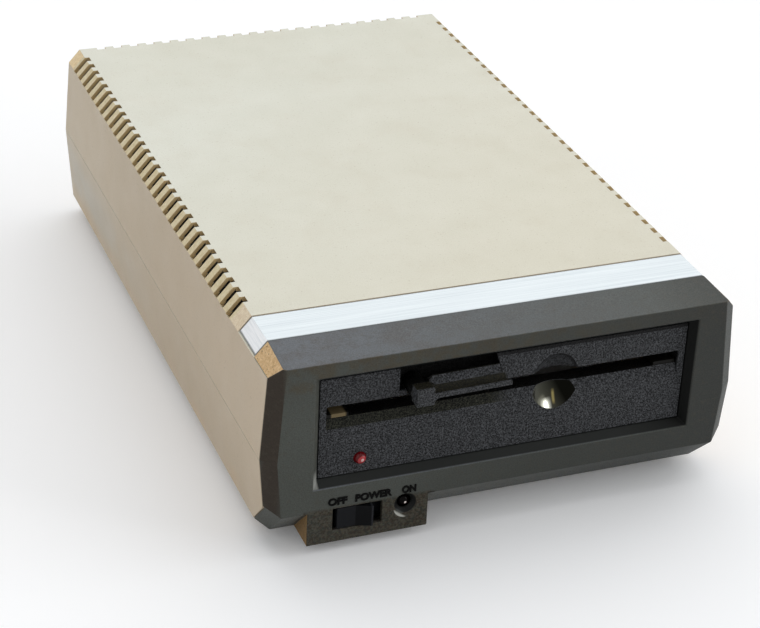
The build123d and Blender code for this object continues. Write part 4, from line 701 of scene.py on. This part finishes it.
# ---------------------------------------------------------------- soft edges
EDGES = {                     # node: width of its edges' rounding
    "top_cover": 0.35, "bottom_cover": 0.35, "front_fascia": 0.4, "trim_strip": 0.12,
    "drive_bezel": 0.3, "latch_lever": 0.3, "power_slider": 0.25, "case_feet": 0.8,
    "serial_ports": 0.25, "power_jack": 0.25, "drive_select_slider_1": 0.2,
    "drive_select_slider_2": 0.2, "drive_chassis": 0.3, "left_disk_guide": 0.2,
    "right_disk_guide": 0.2}
WELD_REACH = 0.002
FLAT_ANGLE = math.radians(0.5)
SHARP_ANGLE = math.radians(32)


def soften(node, width):
    """Joins a node's triangles into flat faces, and rounds the sharp edges between them."""
    weld = node.modifiers.new("weld", "WELD")
    weld.merge_threshold = WELD_REACH * MM
    flat = node.modifiers.new("flat_faces", "DECIMATE")
    flat.decimate_type = "DISSOLVE"
    flat.angle_limit = FLAT_ANGLE
    bevel = node.modifiers.new("soft_edges", "BEVEL")
    bevel.width = width * MM
    bevel.segments = 2
    bevel.limit_method = "ANGLE"
    bevel.angle_limit = SHARP_ANGLE
    bevel.use_clamp_overlap = True
    bevel.harden_normals = True


for edged, edge_width in EDGES.items():
    soften(nodes[edged], edge_width)


# ---------------------------------------------------------------- lettering beside the switch
LETTER_HEIGHT = 3.3
LETTER_RISE = 0.10            # the letters' middle, in front of the face
FONT_SIZE = 10                # before the letters are stretched to their size


def letters(name, text, middle, width):
    """Raised letters on the front face, stretched to their size round a middle (x and z)."""
    curve = bpy.data.curves.new(name, "FONT")
    curve.body = text
    curve.align_x = "CENTER"
    curve.size = FONT_SIZE * MM
    curve.extrude = 0.16 * MM
    curve.bevel_depth = 0.10 * MM
    curve.offset = 0.36 * MM
    curve.bevel_resolution = 1
    label = bpy.data.objects.new(name, curve)
    bpy.context.scene.collection.objects.link(label)
    bpy.context.view_layer.update()
    low, high = Vector(label.bound_box[0]), Vector(label.bound_box[6])
    shift = Matrix.Translation((-(low.x + high.x) / 2, -(low.y + high.y) / 2, 0))
    size = Matrix.Diagonal((width * MM / (high.x - low.x),
                            LETTER_HEIGHT * MM / (high.y - low.y), 1, 1))
    turn = Matrix.Rotation(math.radians(90), 4, "X")
    place = Matrix.Translation(Vector((middle[0], FRONT - LETTER_RISE, middle[1])) * MM)
    label.matrix_world = place @ turn @ size @ shift
    curve.materials.append(MATERIALS["letter_black"])
    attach(label, "case")


letters("letters_off", "OFF", (-67.6, 22.15), 7.6)
letters("letters_power", "POWER", (-53.3, 22.10), 14.7)
letters("letters_on", "ON", (-39.1, 22.10), 5.7)


# ---------------------------------------------------------------- floor, light and camera
def seen_rays(tree):
    """1 for what the camera sees, straight or in a mirror or a lens, and 0 for spread light."""
    path = tree.put("LightPath").outputs
    indirect = tree.put("Math", {0: path["Is Glossy Ray"], 1: path["Is Transmission Ray"]},
                        operation="MAXIMUM").outputs[0]
    return tree.put("Math", {0: path["Is Camera Ray"], 1: indirect},
                    operation="MAXIMUM").outputs[0]


def floor_look():
    """White paper: lifted for what the camera or a reflection sees, and gone from below."""
    material = bpy.data.materials.new("floor_paper")
    material.use_nodes = True
    material.node_tree.nodes.clear()
    tree = Tree(material.node_tree)
    plain = tree.put("BsdfDiffuse", {"Color": (0.55, 0.54, 0.52, 1)}).outputs[0]
    bright = tree.put("BsdfDiffuse", {"Color": (0.945, 0.955, 0.97, 1)}).outputs[0]
    glow = tree.put("Emission", {"Strength": 0.08}).outputs[0]
    lifted = tree.put("AddShader", {0: bright, 1: glow}).outputs[0]
    paper = tree.put("MixShader", {0: seen_rays(tree), 1: plain, 2: lifted}).outputs[0]
    from_below = tree.put("NewGeometry").outputs["Backfacing"]
    open_air = tree.put("BsdfTransparent").outputs[0]
    paper = tree.put("MixShader", {0: from_below, 1: paper, 2: open_air}).outputs[0]
    tree.put("OutputMaterial", {0: paper})
    return material


def make_floor():
    """A sheet of paper under the object, far larger than the view."""
    half_width = 6000 * MM
    mesh = bpy.data.meshes.new("floor")
    shape = bmesh.new()
    bmesh.ops.create_grid(shape, x_segments=2, y_segments=2, size=half_width)
    shape.to_mesh(mesh)
    shape.free()
    floor = bpy.data.objects.new("floor", mesh)
    bpy.context.scene.collection.objects.link(floor)
    floor.data.materials.append(floor_look())


def make_world():
    """Even light from all round: white where it is seen, and weaker where it lights."""
    world = bpy.data.worlds.new("studio")
    world.use_nodes = True
    tree = Tree(world.node_tree)
    strength = tree.put("MapRange", {"Value": seen_rays(tree), "To Min": 0.42, "To Max": 1.0})
    background = world.node_tree.nodes["Background"]
    background.inputs["Color"].default_value = (1, 1, 1, 1)
    world.node_tree.links.new(strength.outputs[0], background.inputs["Strength"])
    bpy.context.scene.world = world


def soft_light(name, source, spread, level):
    """Even light from a patch of sky as wide as spread (degrees), in the direction of source.

    At a level of 1 a white sheet that faces it is white.
    """
    light = bpy.data.lights.new(name, "SUN")
    light.angle = math.radians(spread)
    light.energy = level * math.pi
    lamp = bpy.data.objects.new(name, light)
    lamp.location = source
    lamp.rotation_euler = (-Vector(source)).to_track_quat("-Z", "Y").to_euler()
    bpy.context.scene.collection.objects.link(lamp)


def make_camera():
    """The photograph's view, from a camera fit to the case's edges (metres)."""
    right = Vector((0.93493, -0.35246, 0.04086))
    ahead = Vector((0.32635, 0.80900, -0.48889))
    up = right.cross(ahead)
    place = Matrix.Translation((-0.30505, -0.77181, 0.47563))
    camera = bpy.data.objects.new("camera", bpy.data.cameras.new("camera"))
    camera.matrix_world = place @ Matrix((right, up, -ahead)).transposed().to_4x4()
    camera.data.lens = 102.2
    camera.data.sensor_width = 36
    camera.data.sensor_fit = "HORIZONTAL"
    camera.data.clip_start = 0.01
    bpy.context.scene.collection.objects.link(camera)
    bpy.context.scene.camera = camera


make_floor()
make_world()
soft_light("light_key", source=(0.42, 0.75, 1.05), spread=90, level=0.485)
soft_light("light_left", source=(-1.2, -0.30, 0.85), spread=60, level=0.13)
soft_light("light_right", source=(1.2, -0.50, 0.45), spread=50, level=0.31)
soft_light("light_glint", source=(0.74, -0.6, 0.3), spread=8, level=0.04)
make_camera()
bpy.context.scene.view_settings.view_transform = "Standard"

bpy.context.view_layer.update()
